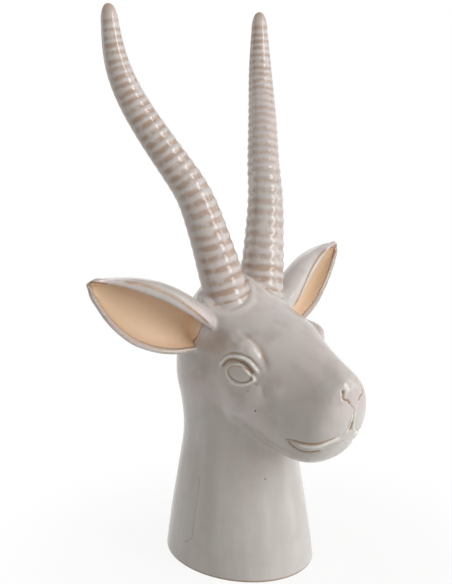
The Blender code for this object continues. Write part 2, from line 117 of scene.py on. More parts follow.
def smooth_path(points, count):
    """That many points, evenly spaced, along a smooth curve through the given ones."""
    points = np.asarray(points, float)
    steps = np.linalg.norm(np.diff(points, axis=0), axis=1)
    along = np.concatenate([[0.0], np.cumsum(steps)])
    places = np.linspace(0.0, along[-1], count)
    if np.allclose(points[0], points[-1]):
        along = np.concatenate([[-steps[-1]], along, [along[-1] + steps[0]]])
        points = np.vstack([points[-2], points, points[1]])
    return read_table(np.column_stack([along, points]), places)


def stations(start, stop, step, table):
    """Places every step, with those of the table among them."""
    return np.unique(np.concatenate([np.arange(start, stop, step), [row[0] for row in table]]))


def headings(line, *spacing):
    """The direction of a line at each of its points, of length 1."""
    heading = np.gradient(line, *spacing, axis=0)
    return heading / np.linalg.norm(heading, axis=1)[:, None]


def smooth_step(share):
    """0 below 0, 1 above 1, with a soft start and a soft end."""
    share = np.clip(share, 0, 1)
    return share * share * (3 - 2 * share)


def fold(places):
    """The same places, all brought to the +X side."""
    return np.column_stack([np.abs(places[:, 0]), places[:, 1:]])


# %% [markdown]
# ## Lofts by extrusion
# A potter builds such a shape up in coils. The same thing in edit mode: start with one filled
# circle, extrude it, set the new ring to the next section, and go on to the last. The end faces
# stay filled, so the skin is closed all the way.

# %% Loft


def loft(name, rings):
    """A closed skin through rings of places in millimetres, by extruding a filled circle."""
    sides = len(rings[0])
    bpy.ops.mesh.primitive_circle_add(vertices=sides, radius=1, fill_type="NGON")
    piece = bpy.context.active_object
    piece.name = name
    bpy.ops.object.mode_set(mode="EDIT")
    ring = list(range(sides))
    for row, points in enumerate(rings):
        if row:
            bpy.ops.mesh.extrude_region_move()
        mesh = bmesh.from_edit_mesh(piece.data)
        mesh.verts.ensure_lookup_table()
        if row:
            ring = [next(edge.other_vert(mesh.verts[i]).index for edge in mesh.verts[i].link_edges
                         if edge.other_vert(mesh.verts[i]).select) for i in ring]
        for i, point in zip(ring, points):
            mesh.verts[i].co = Vector(point) * MM
    bpy.ops.mesh.select_all(action="SELECT")
    bpy.ops.mesh.normals_make_consistent(inside=False)
    bpy.ops.object.mode_set(mode="OBJECT")
    return piece


def apply(piece, kind, **settings):
    """Add one modifier, set it and apply it."""
    modifier = piece.modifiers.new(kind, kind)
    for name, value in settings.items():
        setattr(modifier, name, value)
    bpy.context.view_layer.objects.active = piece
    bpy.ops.object.modifier_apply(modifier=modifier.name)


def join(name, pieces):
    """Join pieces into the first one. They may cut through each other."""
    bpy.ops.object.select_all(action="DESELECT")
    for piece in pieces:
        piece.select_set(True)
    bpy.context.view_layer.objects.active = pieces[0]
    bpy.ops.object.join()
    pieces[0].name = name
    return pieces[0]


def count_triangles(piece):
    return sum(len(face.vertices) - 2 for face in piece.data.polygons)


# %% [markdown]
# ## Neck and skull
# The neck is an upright oval that narrows from the foot to the throat and swells again into the
# back of the skull. It is a row of level ovals.

# %% Neck and skull
# Height, half width, half depth, middle of the depth.
NECK = [
    (-12, 47.4, 56.4, 0.0),
    (0, 46.3, 55.0, 0.0),
    (30, 42.6, 50.6, 0.0),
    (60, 38.2, 45.2, 0.0),
    (88, 34.6, 41.0, 0.0),
    (108, 36.0, 43.0, 0.0),
    (124, 39.6, 44.4, 0.5),
    (140, 39.8, 43.2, 0.5),
    (156, 37.4, 40.6, 0.5),
    (170, 33.0, 33.8, 1.5),
    (181, 27.0, 24.0, 3.0),
    (188, 20.0, 15.5, 2.5),
    (191.5, 11.0, 8.0, 0.0),
    (192.6, 3.0, 2.5, -1.0),
]
NECK_STEP = 4.0


def neck_and_skull():
    angle = np.linspace(0, 2 * math.pi, LOFT_SIDES, endpoint=False)
    places = stations(NECK[0][0], NECK[-1][0] - NECK_STEP, NECK_STEP, NECK)
    rings = []
    for height, (half_width, half_depth, middle) in zip(places, read_table(NECK, places)):
        rings.append(np.stack([half_width * np.cos(angle), middle + half_depth * np.sin(angle),
                               np.full_like(angle, height)], axis=1))
    return loft("neck", rings)


# %% [markdown]
# ## Face
# The face is a second body that leaves the skull and slopes down to the muzzle. Its section is a
# rounded box: wide at the cheeks, narrower along the bridge of the nose, deep at the jaw.

# %% Face
FACE_HEIGHT = 150.0
FACE_TILT = 16.0
FACE_ROUNDNESS = 2.2
# Distance along it, half width, top, underside, level of the widest place, narrowing at the top.
FACE = [
    (-12, 24, 26, -30, 0.0, 0.0),
    (0, 35, 33.0, -36, 0.0, 0.0),
    (14, 37.5, 33.2, -41, 0.0, 0.05),
    (28, 38, 31.8, -45, -1.0, 0.04),
    (42, 35.5, 30.5, -47, -4.0, 0.03),
    (56, 31.5, 28.1, -48.8, -9.0, 0.07),
    (70, 28.0, 26.0, -49.2, -13, 0.13),
    (82, 25.8, 24.3, -46.4, -14, 0.18),
    (91, 23.8, 22.6, -41.5, -12, 0.18),
    (97, 21.2, 20.4, -35.5, -9, 0.15),
    (101, 17.2, 14.5, -29.5, -7, 0.1),
    (103.2, 12.5, 7, -21.5, -8, 0),
    (104.6, 7.0, 0, -17, -8, 0),
    (105.2, 2.0, -6, -11, -8, 0),
]
FACE_STEP = 3.0


def face():
    tilt = math.radians(FACE_TILT)
    forward = np.array([0, -math.cos(tilt), -math.sin(tilt)])
    upward = np.array([0, -math.sin(tilt), math.cos(tilt)])
    angle = np.linspace(0, 2 * math.pi, LOFT_SIDES, endpoint=False)
    rise = np.sign(np.sin(angle)) * np.abs(np.sin(angle)) ** (2 / FACE_ROUNDNESS)
    spread = np.sign(np.cos(angle)) * np.abs(np.cos(angle)) ** (2 / FACE_ROUNDNESS)
    places = stations(FACE[0][0], FACE[-1][0] - FACE_STEP, FACE_STEP, FACE)
    rings = []
    for along, row in zip(places, read_table(FACE, places)):
        half_width, top, underside, widest, narrowing = row
        level = widest + np.where(rise > 0, rise * (top - widest), rise * (widest - underside))
        across = half_width * spread * (1 - narrowing * np.clip(rise, 0, 1))
        middle = np.array([0, 0, FACE_HEIGHT]) + forward * along
        rings.append(middle + np.outer(level, upward) + np.outer(across, [1, 0, 0]))
    return loft("face", rings)


# %% [markdown]
# ## Soft masses
# Brow, cheek, ear root and horn base are soft swellings under the skin. Each is a sphere pressed
# to an egg. A coarse voxel remesh then melts neck, face and eggs into one body, and a smoothing
# pass rounds the joins as a wet sponge would.

# %% Soft masses
# Centre, radii, tilt and turn in degrees.
MASSES = [
    ((25.5, -33, 151.5), (10, 17, 8), -20, 12),
    ((25.5, -33, 120), (11, 22, 14), -25, 8),
    ((30, 2, 166), (12, 11, 12), 0, 0),
    ((17, 0, 178), (16, 14, 13), 0, 0),
]
MASS_VOXEL = 2.5
MASS_SMOOTHING = 16


def soft_mass(side, centre, radii, tilt, turn):
    bpy.ops.mesh.primitive_ico_sphere_add(subdivisions=4, radius=1.0)
    ball = bpy.context.active_object
    place = Matrix.Translation(Vector((side * centre[0], centre[1], centre[2])) * MM)
    turned = Matrix.Rotation(math.radians(turn * side), 4, "Z")
    tilted = Matrix.Rotation(math.radians(tilt), 4, "X")
    ball.data.transform(place @ turned @ tilted @ Matrix.Diagonal((*(Vector(radii) * MM), 1)))
    return ball


masses = [neck_and_skull(), face()]
for centre, radii, tilt, turn in MASSES:
    masses += [soft_mass(side, centre, radii, tilt, turn) for side in SIDES]
skin = join("skin", masses)
apply(skin, "REMESH", mode="VOXEL", voxel_size=MASS_VOXEL * MM)
apply(skin, "SMOOTH", factor=0.5, iterations=MASS_SMOOTHING)
print("Body of", len(masses), "masses:", count_triangles(skin), "triangles")

# %% [markdown]
# ## Ears
# An ear is a leaf folded into a cup. Its section is a thick line: up from the lower rim, round
# the back, over the crest, forward to an edge and down the rolled front face. The ear keeps this
# middle line as well, because the bare clay inside the cup is found from it later.

# %% Ears
EAR_ROOT = (34.0, -3.0, 164.0)
EAR_TIP = (108.5, 13.5, 199.0)
EAR_FACING = (0.154, -0.979, 0.134)
EAR_ROLL = -15.0
EAR_WALL = 4.4
EAR_POINTS = 26
EAR_STEP = 2.0
# Distance along, lower rim, upper rim, how far the upper rim curls forward, crest, cup depth.
EAR = [
    (-12, -15, -1, 9, 8.4, 9),
    (0, -19.0, 0.6, 10, 10.8, 12),
    (10, -23.4, 2.4, 10.2, 13.2, 13),
    (20, -26.0, 4.2, 9.4, 15.2, 13.5),
    (30, -27.0, 5.4, 8.0, 16.0, 14),
    (42, -26.4, 5.8, 6.0, 15.6, 14),
    (54, -23.0, 5.4, 4.0, 13.3, 13),
    (64, -18.4, 4.4, 2.6, 10.2, 11),
    (73, -12.6, 3.0, 1.4, 6.8, 8.5),
    (79, -8.2, 1.8, 0.7, 3.9, 6),
    (82.6, -3.8, 0.5, 0.3, 1.4, 3.6),
    (84.4, -2.2, -1.2, 0.0, -0.8, 1.4),
]


def ear_axes():
    """The ear's own directions: along it, up across it, and forward out of its cup."""
    along = np.subtract(EAR_TIP, EAR_ROOT)
    along = along / np.linalg.norm(along)
    forward = np.array(EAR_FACING) - np.dot(EAR_FACING, along) * along
    forward = forward / np.linalg.norm(forward)
    up = np.cross(forward, along)
    up = up * np.sign(up[2])
    roll = math.radians(EAR_ROLL)
    return along, math.cos(roll) * up - math.sin(roll) * forward, \
        math.cos(roll) * forward + math.sin(roll) * up


def ear_middle_line(lower, upper, curl, crest, depth):
    """The middle of the wall, from the lower rim to the upper one, and half its thickness."""
    span = crest - lower
    half = min(EAR_WALL, 0.42 * span, 0.9 * depth + 0.6) / 2
    line = smooth_path([
        (lower + half, min(half, 0.05 * span)),
        (lower + half + 0.06 * span, -0.4 * depth),
        (lower + 0.36 * span, half - depth),
        (lower + 0.68 * span, half - 0.93 * depth),
        (crest - half - 0.02 * span, -0.42 * depth),
        (crest - half, 0.28 * curl),
        (0.5 * (crest + upper) + 0.6, 0.72 * curl),
        (upper + 0.8 * half, curl - 0.5 * half),
    ], EAR_POINTS)
    return line, half


def ear_section(lower, upper, curl, crest, depth):
    """The middle line made thick, a little thinner towards the upper rim."""
    middle, half = ear_middle_line(lower, upper, curl, crest, depth)
    heading = headings(middle)
    outward = np.stack([heading[:, 1], -heading[:, 0]], axis=1)
    thinning = 1 - 0.3 * np.linspace(0, 1, len(middle)) ** 2
    reach = half * thinning[:, None]
    upper_rim = middle[-1] + heading[-1] * reach[-1]
    lower_rim = middle[0] - heading[0] * reach[0]
    return np.vstack([middle + outward * reach, upper_rim, (middle - outward * reach)[::-1],
                      lower_rim])


def in_ear(distance, points):
    """Points of a section, as places on the +X side."""
    along, up, forward = ear_axes()
    return np.array(EAR_ROOT) + along * distance + np.outer(points[:, 0], up) \
        + np.outer(points[:, 1], forward)


def ear(side):
    places = stations(EAR[0][0], EAR[-1][0] - EAR_STEP, EAR_STEP, EAR)
    rings = [in_ear(distance, ear_section(*row)) * [side, 1, 1]
             for distance, row in zip(places, read_table(EAR, places))]
    return loft("ear", rings)


# %% [markdown]
# ## One skin
# Head and ears are joined but still cut through each other. A second and much finer voxel remesh
# makes one closed skin of them, and a few smoothing passes take the voxel steps out of it.

# %% One fine skin
SKIN_VOXEL = 0.9
SKIN_SMOOTHING = 4

skin = join("skin", [skin] + [ear(side) for side in SIDES])
apply(skin, "REMESH", mode="VOXEL", voxel_size=SKIN_VOXEL * MM)
apply(skin, "SMOOTH", factor=0.5, iterations=SKIN_SMOOTHING)
print("Head, neck and ears:", count_triangles(skin), "triangles")

# %% [markdown]
# ## Finer clay where the lines are
# Eyelids, nostrils and lips are lines of a millimetre or two. The mesh gets one more subdivision
# there and nowhere else, so the neck doesn't pay for the eyes.

# %% Finer regions
# Centre and radius of each.
FINE_REGIONS = [
    ((34, -38, 143), 19.0),
    ((12, -90, 112), 26.0),
    ((6, -99, 133), 13.0),
]


def select_near(piece, spots):
    """Select the faces within reach of any of the spots, on both sides."""
    bpy.ops.object.mode_set(mode="EDIT")
    bpy.ops.mesh.select_mode(type="FACE")
    bpy.ops.mesh.select_all(action="DESELECT")
    mesh = bmesh.from_edit_mesh(piece.data)
    for part in mesh.faces:
        middle = part.calc_center_median() / MM
        middle.x = abs(middle.x)
        part.select = any((middle - Vector(spot)).length < radius for spot, radius in spots)
    bmesh.update_edit_mesh(piece.data)


select_near(skin, FINE_REGIONS)
bpy.ops.mesh.subdivide(number_cuts=1, smoothness=0)
bpy.ops.mesh.vertices_smooth(factor=0.5, repeat=2)
bpy.ops.object.mode_set(mode="OBJECT")
print("With finer eyes, nose and lips:", count_triangles(skin), "triangles")

# %% [markdown]
# ## Modelled lines
# Lids, brow, lips and nostrils were drawn with a modelling tool in the clay. Each line below is a
# curve laid on the skin that lifts or sinks it. All lines are measured on the untouched skin and
# their lifts are added, so their order doesn't matter. Each line also carries a tone: above 0 the
# glaze runs thin and breaks brown, below 0 it stays pale on a rounded crest. That pale is also a
# painted highlight: it is lighter than the glaze alone, for the light the raised lids, lips and
# brow catch.

# %% The lines of the face
# Places on one side, half width, height, tone, share of the length over which each end runs out.
LINES = {
    "brow dome": ([(35.2, -20, 155), (35.1, -24.2, 155.6), (34.3, -34.3, 158.1),
                   (34.1, -42.2, 156.8), (32.2, -46.4, 153.6)], 8.4, 2.6, -0.4, 0.4),
    "brow end": ([(34.1, -39, 157.3), (34.1, -42.2, 156.8), (32.2, -46.4, 153.6),
                  (29.7, -48.6, 149.5), (29, -51.1, 145.2)], 4.2, 0.7, -0.4, 0.4),
    "brow edge": ([(29.3, -26, 164.5), (27.9, -31.9, 163.8), (27.2, -38.3, 161.4),
                   (27.2, -44.2, 158.4), (26.8, -48.4, 154.3), (26.4, -51, 150),
                   (27, -53.6, 145.5), (28.2, -55, 141)], 2.3, -1.3, 0.45, 0.3),
    "tear groove": ([(30, -52.9, 136.5), (29.5, -54, 131.3), (29, -57.7, 126.9)],
                    2.3, -1.1, 0.2, 0.4),
    "upper cheek": ([(27, -61, 137), (27.3, -62.4, 132), (27.8, -62.5, 127)],
                    4.2, 0.6, 0.0, 0.45),
    "under eye": ([(36.4, -28, 127.5), (36.1, -33, 126.3), (34.8, -39.2, 126.7),
                   (33.4, -44, 128)], 3.0, -0.3, 0.3, 0.4),
    "cheek fold": ([(28, -63.5, 120), (27.6, -63.5, 115), (27, -62.5, 109)],
                   3.0, -0.8, 0.0, 0.4),
    "socket": ([(38, -25, 134), (36.6, -31, 130.5), (35, -39, 130), (33, -46, 132.5)],
               2.6, -0.5, 0.2, 0.4),
    "lid crease": ([(36.4, -24.9, 150), (35.4, -31.6, 152.1), (34.5, -38.5, 153),
                    (33, -43, 151.9), (31, -45.6, 149.8), (29.9, -48, 146.9),
                    (29.6, -50.9, 143.6), (29.8, -52, 141)], 0.85, -0.7, 0.6, 0.3),
    "upper lid": ([(37.8, -21.9, 141.6), (37.9, -26.1, 146.1), (37.3, -29.8, 149.3),
                   (36.4, -34.7, 151), (35.2, -39.9, 151), (33.5, -43.9, 149.2),
                   (32.1, -46.9, 146.4), (31.2, -49.7, 143.2), (30.7, -50.8, 140.6)],
                  1.15, 1.4, -1.0, 0.12),
    "lid groove": ([(37.8, -24.4, 140.4), (36.9, -26.2, 143.6), (36.2, -29.2, 146.7),
                    (35, -33, 148.3), (33.9, -38, 148.4), (32.6, -42.1, 146.5),
                    (31.8, -45.2, 143.8), (31.6, -48.9, 140.4)], 1.0, -1.0, 0.8, 0.12),
    "eye rim": ([(38, -29.9, 139.5), (37.9, -31.4, 143), (36.9, -34.8, 145.3),
                 (35.7, -38, 146), (34.5, -41.5, 144.9), (33.5, -44.5, 142.7),
                 (33.2, -47.4, 140), (32.8, -48.7, 138.2), (33.9, -45.9, 136),
                 (35.1, -42.6, 134.4), (36.2, -38.8, 133.6), (37.3, -35.1, 133.8),
                 (37.9, -32, 135.6), (38, -29.9, 139.5)], 1.1, 1.5, -1.0, 0),
    "eye corner": ([(32.7, -48.4, 135.8), (32.3, -50, 135.6)], 0.9, -0.4, 0.5, 0),
    "lip": ([(24, -73.4, 102.8), (23.4, -79.7, 102.3), (20.8, -85.6, 102.6),
             (17.2, -90.5, 103.7), (12.6, -94.3, 105.6)], 1.5, 1.4, -1.0, 0.4),
    "lip front": ([(20.8, -85.6, 102.6), (17.2, -90.5, 103.7), (12.6, -94.3, 105.6),
                   (6.7, -96.3, 107.9), (4.6, -97.1, 109.6)], 1.4, -0.1, -1.0, 0.25),
    "lip strip": ([(4.6, -97.1, 109.6), (3.3, -97.9, 111.7), (1.6, -98.5, 115), (1.3, -99.7, 119),
                   (1.3, -100.5, 124)], 0.7, 0.6, -1.0, 0.15),
    "mouth line": ([(24.6, -69.2, 103.7), (24.2, -71.5, 104.1), (23.5, -75.8, 104.4),
                    (21.8, -81.2, 104.4), (20.2, -85, 104.6), (17.5, -89.3, 105.4),
                    (14.5, -92.6, 106.6), (11.1, -94.7, 108), (7.2, -96.4, 109.8)],
                   0.9, -0.9, 0.75, 0.14),
    "mouth corner": ([(24.7, -68.9, 103.6), (24.5, -70, 103.9), (24.2, -71.5, 104.1)],
                     0.9, -0.5, 0.7, 0),
    "strip crease": ([(11.1, -94.7, 108), (7.2, -96.4, 109.8), (4.6, -97.6, 111.6),
                      (3.2, -98.4, 113.9), (2.7, -99.3, 117), (2.5, -100, 120.2)],
                     0.8, -0.5, 0.15, 0.25),
    "lower lip line": ([(24.5, -69.4, 103.2), (24, -70.8, 101.7), (23.3, -72.1, 100.6),
                        (22, -74.1, 99.1), (19.8, -78, 98), (17.6, -82.7, 98.4),
                        (14.2, -87.7, 99.4)], 1.0, -1.1, 0.8, 0.08),
    "lower lip fold": ([(17.4, -83, 98.5), (14.2, -87.7, 99.4), (9.4, -91.5, 101.5),
                        (2.7, -93.6, 104), (0, -93.8, 104.4)], 1.3, -0.7, 0.3, 0.1),
    "philtrum": ([(0, -101, 126.6), (0, -100.6, 122), (0, -100, 118), (0, -99.3, 114.5)],
                 0.6, -0.7, 0.25, 0.05),
    "philtrum end": ([(0, -99.2, 116.2), (0, -98.9, 114), (0, -98.6, 112.3)], 1.2, -0.9, 1.0, 0),
    "nose tip": ([(3.2, -100, 137.5), (2.8, -100.2, 136.6)], 1.8, 0.35, 0.0, 0),
    "nose groove": ([(7.9, -98.2, 136.6), (8.4, -98.4, 135), (8.6, -98.8, 133.6),
                     (7.5, -99.4, 132.4), (5.9, -100, 132.1), (4.8, -100.4, 130.9),
                     (3.8, -100.6, 129.2)], 0.8, -0.6, 0.9, 0.04),
    "nose line": ([(3.8, -100.6, 129.2), (2.4, -100.8, 127.7), (0, -101, 125.8)],
                  0.5, -0.6, 0.45, 0.0),
    "nostril": ([(7.8, -98, 137.2), (7.8, -98, 136.8)], 0.85, -1.3, 1.0, 0),
    "ear edge": ([(92, 6, 199), (79, 1.4, 196), (69.9, -2.4, 192.4), (58.5, -7.4, 186),
                  (47.8, -12.1, 177), (38.2, -14.6, 167.9), (35.2, -14, 165.1)],
                 0.9, 0.6, 0.9, 0.1),
}
LINE_STEP = 0.5

# %% Laying a line on the skin


def read_vectors(piece, kind):
    values = np.empty(len(piece.data.vertices) * 3, np.float32)
    piece.data.vertices.foreach_get(kind, values)
    return values.reshape(-1, 3).astype(float)


def write_places(piece, places):
    piece.data.vertices.foreach_set("co", places.astype(np.float32).ravel())
    piece.data.update()


def both_sides(points):
    """A line and its mirror image, or one line where it lies on or ends on the mirror plane."""
    mirrored = [(-x, y, z) for x, y, z in points]
    if mirrored == points:
        return [points]
    if points[-1][0] == 0:
        return [points + mirrored[-2::-1]]
    return [points, mirrored]


def laid_lines(tree):
    """Every line as places on the skin, in millimetres."""
    laid = []
    for points, half_width, height, tone, fade in LINES.values():
        for line in both_sides(points):
            length = np.linalg.norm(np.diff(line, axis=0), axis=1).sum()
            path = smooth_path(line, 2 + int(length / LINE_STEP)) * MM
            path = np.array([tree.find_nearest(Vector(point))[0] for point in path]) / MM
            laid.append((path, half_width, height, tone, fade))
    return laid


def line_strength(places, path, half_width, fade):
    """How strongly a line acts on each place: 1 on the line, falling off across it."""
    low, high = path.min(axis=0) - 3 * half_width, path.max(axis=0) + 3 * half_width
    near = np.where(((places > low) & (places < high)).all(axis=1))[0]
    strength = np.zeros(len(places))
    for part in np.array_split(near, 1 + len(near) // 20000):
        squares = ((places[part][:, None] - path[None]) ** 2).sum(axis=2)
        share = squares.argmin(axis=1) / max(len(path) - 1, 1)
        run = smooth_step(np.minimum(share, 1 - share) / fade) if fade else 1.0
        strength[part] = np.exp(-squares.min(axis=1) / half_width**2) * run
    return strength


# %% [markdown]
# ## Eyeballs
# The eye is a smooth low dome inside its ring, with a fine ditch where the two meet.

# %% Eyeball
EYE_CENTRE = (35.6, -39.2, 140.2)
EYE_LOOK = (0.86, -0.5, 0.04)
EYE_CORNERS = (-0.28, -0.95, -0.03)
EYE_HALF = (8.1, 5.1)
EYE_RISE = 1.7
EYE_DITCH = 0.5
EYE_DITCH_WIDTH = 0.13
EYE_REACH = 1.4
EYE_TONE = 0.6


def eye_lift(places, side):
    """The lift of the eyeball, and how deep in the ditch round it each place is."""
    look = np.array(EYE_LOOK) / np.linalg.norm(EYE_LOOK)
    corners = np.array(EYE_CORNERS) - np.dot(EYE_CORNERS, look) * look
    corners = corners / np.linalg.norm(corners)
    offset = places * [side, 1, 1] - np.array(EYE_CENTRE)
    radius = np.hypot(offset @ corners / EYE_HALF[0],
                      offset @ np.cross(look, corners) / EYE_HALF[1])
    near = (radius < EYE_REACH) & (np.abs(offset @ look) < max(EYE_HALF))
    dome = EYE_RISE * np.sqrt(np.clip(1 - radius**2, 0, 1))
    ditch = np.exp(-(((radius - 1) / EYE_DITCH_WIDTH) ** 2))
    return (dome - EYE_DITCH * ditch) * near, ditch * near


# %% [markdown]
# ## Horns
# A horn is round in section and follows a long S. Its rings are proud rounded bands with narrow
# grooves between them: deep at the skull, and only painted on near the tip. The distance along
# the axis gives the ring, and the ring gives the radius, so the pattern can be read back later
# for the glaze.

# %% Horn
# Six places on its axis, and its radius at eleven: at each of the six and halfway between them.
HORN_AXIS = [
    (16.9, -3.2, 188.5),
    (27.9, 5.3, 234.0),
    (35.7, 15.4, 257.9),
    (49.2, 31.0, 287.5),
    (60.4, 45.3, 322.6),
    (63.8, 50.3, 362.0),
]
HORN_RADII = [14.4, 12.9, 11.9, 11.2, 10.8, 10.3, 9.7, 8.9, 7.9, 6.3, 4.3]
HORN_SINK = 18.0
HORN_SIDES = 48
HORN_STEP = 0.85
HORN_TIP = 13.0
HORN_TIP_POWER = 0.85
HORN_ZONE = 150.0
RING_FIRST = -9.8
RING_LAST = 187.0
RING_PITCH = (7.4, 4.3)
RING_PITCH_POWER = 1.25
# The rings are strongest, and the glaze on them breaks, where a horn of the +X side faces this
# way. At the back they are only so strong.
BROKEN_SIDE = np.array([-0.74, -0.67, 0.0])
BROKEN_FROM = -0.9
BROKEN_RUN = 0.5
RELIEF_LEAST = 0.35
# Height of the rings over the grooves, at shares of the way to the last ring.
RING_RELIEF = [(0.0, 0.6), (0.5, 0.5), (0.78, 0.22), (0.9, 0.05), (1.0, 0.0)]


def horn_axis():
    """Distance along the horn, and axis and radius there: a natural cubic through the places."""
    knots = np.array(HORN_AXIS, float)
    count = len(knots)
    system = np.eye(count)
    target = np.zeros((count, 3))
    for i in range(1, count - 1):
        system[i, i - 1:i + 2] = (1, 4, 1)
        target[i] = 6 * (knots[i + 1] - 2 * knots[i] + knots[i - 1])
    bend = np.linalg.solve(system, target)
    place = np.linspace(0, count - 1, 400)
    low = np.minimum(place.astype(int), count - 2)
    u = (place - low)[:, None]
    axis = (1 - u) * knots[low] + u * knots[low + 1] \
        + ((1 - u) ** 3 - (1 - u)) * bend[low] / 6 + (u**3 - u) * bend[low + 1] / 6
    along = np.concatenate([[0.0], np.cumsum(np.linalg.norm(np.diff(axis, axis=0), axis=1))])
    radius_at = np.linspace(0, count - 1, len(HORN_RADII))
    radius = read_table(np.column_stack([radius_at, HORN_RADII]), place)[:, 0]
    sunk = np.arange(-HORN_SINK, 0.0, 0.5)
    start = (axis[1] - axis[0]) / along[1]
    axis = np.vstack([axis[0] + np.outer(sunk, start), axis])
    radius = np.concatenate([np.full(len(sunk), radius[0]), radius])
    return np.concatenate([sunk, along]), axis, radius


def facing_share(facing):
    """1 where a direction faces the broken side of the horn, falling to 0 at its back."""
    return smooth_step((facing - BROKEN_FROM) / BROKEN_RUN)


def ring_grooves():
    """Distance along the horn of every groove."""
    grooves = []
    place = RING_FIRST
    while place < RING_LAST:
        grooves.append(place)
        share = max(0.0, place / RING_LAST)
        place += RING_PITCH[0] + (RING_PITCH[1] - RING_PITCH[0]) * share**RING_PITCH_POWER
    return np.array(grooves)


HORN_ALONG, HORN_LINE, HORN_RADIUS = horn_axis()
GROOVES = ring_grooves()


def ring_phase(place):
    """How far each place is from its nearest groove: 0 in it, 1 on the crest between two."""
    low = np.clip(np.searchsorted(GROOVES, place) - 1, 0, len(GROOVES) - 2)
    share = (place - GROOVES[low]) / (GROOVES[low + 1] - GROOVES[low])
    phase = 1 - np.abs(2 * np.clip(share, 0, 1) - 1)
    return np.where((place < GROOVES[0]) | (place > GROOVES[-1]), 1.0, phase)


def ring_relief(place):
    """Height of the rings at that distance, even about the plain radius."""
    share, height = np.transpose(RING_RELIEF)
    return np.interp(place / RING_LAST, share, height) * (smooth_step(ring_phase(place)) - 0.5)


def horn():
    length = HORN_ALONG[-1]
    heading = headings(HORN_LINE, HORN_ALONG)
    tip_start = length - HORN_TIP
    places = np.arange(-HORN_SINK, tip_start, HORN_STEP)
    reach = np.interp(places, HORN_ALONG, HORN_RADIUS)
    turns = np.radians([0, 9, 18, 27, 36, 45, 54, 62, 70, 78, 86])
    tip_radius = np.interp(tip_start, HORN_ALONG, HORN_RADIUS)
    places = np.concatenate([places, tip_start + HORN_TIP * np.sin(turns)])
    reach = np.concatenate([reach, tip_radius * np.cos(turns) ** HORN_TIP_POWER])
    angle = np.linspace(0, 2 * math.pi, HORN_SIDES, endpoint=False)
    across = np.cross([0, 1, 0], heading[0])
    rings = []
    relief = np.concatenate([ring_relief(places[:len(places) - len(turns)]),
                             np.zeros(len(turns))])
    for place, radius, swell in zip(places, reach, relief):
        ahead = np.array([np.interp(place, HORN_ALONG, heading[:, k]) for k in range(3)])
        middle = np.array([np.interp(place, HORN_ALONG, HORN_LINE[:, k]) for k in range(3)])
        across = across - np.dot(across, ahead) * ahead
        across = across / np.linalg.norm(across)
        other = np.cross(ahead, across)
        outward = np.outer(np.cos(angle), across) + np.outer(np.sin(angle), other)
        side = RELIEF_LEAST + (1 - RELIEF_LEAST) * facing_share(outward @ BROKEN_SIDE)
        rings.append(middle + outward * (radius + swell * side)[:, None])
    return loft("horn", rings)


def horn_place(places):
    """Distance along the nearest horn and height over its plain surface, at each place."""
    along = np.full(len(places), -100.0)
    height = np.full(len(places), 100.0)
    near = np.where(places[:, 2] > HORN_ZONE)[0]
    folded = fold(places[near])
    for part in np.array_split(np.arange(len(near)), 1 + len(near) // 5000):
        squares = ((folded[part][:, None] - HORN_LINE[None]) ** 2).sum(axis=2)
        closest = squares.argmin(axis=1)
        along[near[part]] = HORN_ALONG[closest]
        height[near[part]] = np.sqrt(squares.min(axis=1)) - HORN_RADIUS[closest]
    return along, height


def mirrored_copy(piece):
    bpy.ops.object.select_all(action="DESELECT")
    piece.select_set(True)
    bpy.context.view_layer.objects.active = piece
    bpy.ops.object.duplicate()
    other = bpy.context.active_object
    other.data.transform(Matrix.Diagonal((-1, 1, 1, 1)))
    other.data.flip_normals()
    return other


right_horn = horn()
left_horn = mirrored_copy(right_horn)
print("Horn:", count_triangles(right_horn), "triangles,", len(GROOVES), "grooves")

# %% [markdown]
# ## Carving
# Every line and eyeball is measured on the untouched skin, the lifts are added up, and the skin is
# moved once along its own normals. The horns stand in a soft collar, so the skin swells round
# their roots too.

# %% Carve the skin
COLLAR_PLACE = 2.6
COLLAR_WIDTH = 1.9
COLLAR_RISE = 1.0
COLLAR_TONE = 0.35
COLLAR_END = 12.0


def collar(places):
    """A soft ring in the skin round the root of each horn."""
    along, height = horn_place(places)
    ring = np.exp(-(((height - COLLAR_PLACE) / COLLAR_WIDTH) ** 2))
    return ring * (along < COLLAR_END) * (along > -HORN_SINK)


uncarved_places = read_vectors(skin, "co") / MM
normals = read_vectors(skin, "normal")
tree = BVHTree.FromPolygons([tuple(place * MM) for place in uncarved_places],
                            [tuple(part.vertices) for part in skin.data.polygons])
lines = laid_lines(tree)
lift = sum(eye_lift(uncarved_places, side)[0] for side in SIDES)
lift = lift + COLLAR_RISE * collar(uncarved_places)
for path, half_width, height, tone, fade in lines:
    lift = lift + height * line_strength(uncarved_places, path, half_width, fade)
carved_places = uncarved_places + normals * lift[:, None]
write_places(skin, carved_places * MM)
print("Carved", len(lines), "lines, deepest", round(lift.min(), 2), "mm")

# %% [markdown]
# ## One casting
# The horns are united with the head by an exact Boolean, and the foot is cut level. Under the
# neck the real piece has a bare, slightly recessed foot with a vent hole for the kiln.

# %% Unite, cut the foot, open the vent
FOOT_WIDTH = 9.0
FOOT_RECESS = 1.8
CUTTER_LOW = -5.0
VENT_RADIUS = 9.0
VENT_DEPTH = 15.0


def combine(piece, other, operation):
    apply(piece, "BOOLEAN", operation=operation, solver="EXACT", object=other)
    bpy.data.objects.remove(other, do_unlink=True)


def cut_level(piece):
    """Cut the piece at the ground in edit mode and fill the cut."""
    bpy.ops.object.select_all(action="DESELECT")
    piece.select_set(True)
    bpy.context.view_layer.objects.active = piece
    bpy.ops.object.mode_set(mode="EDIT")
    bpy.ops.mesh.select_all(action="SELECT")
    bpy.ops.mesh.bisect(plane_co=(0, 0, 0), plane_no=(0, 0, -1), clear_outer=True, use_fill=True)
    bpy.ops.object.mode_set(mode="OBJECT")


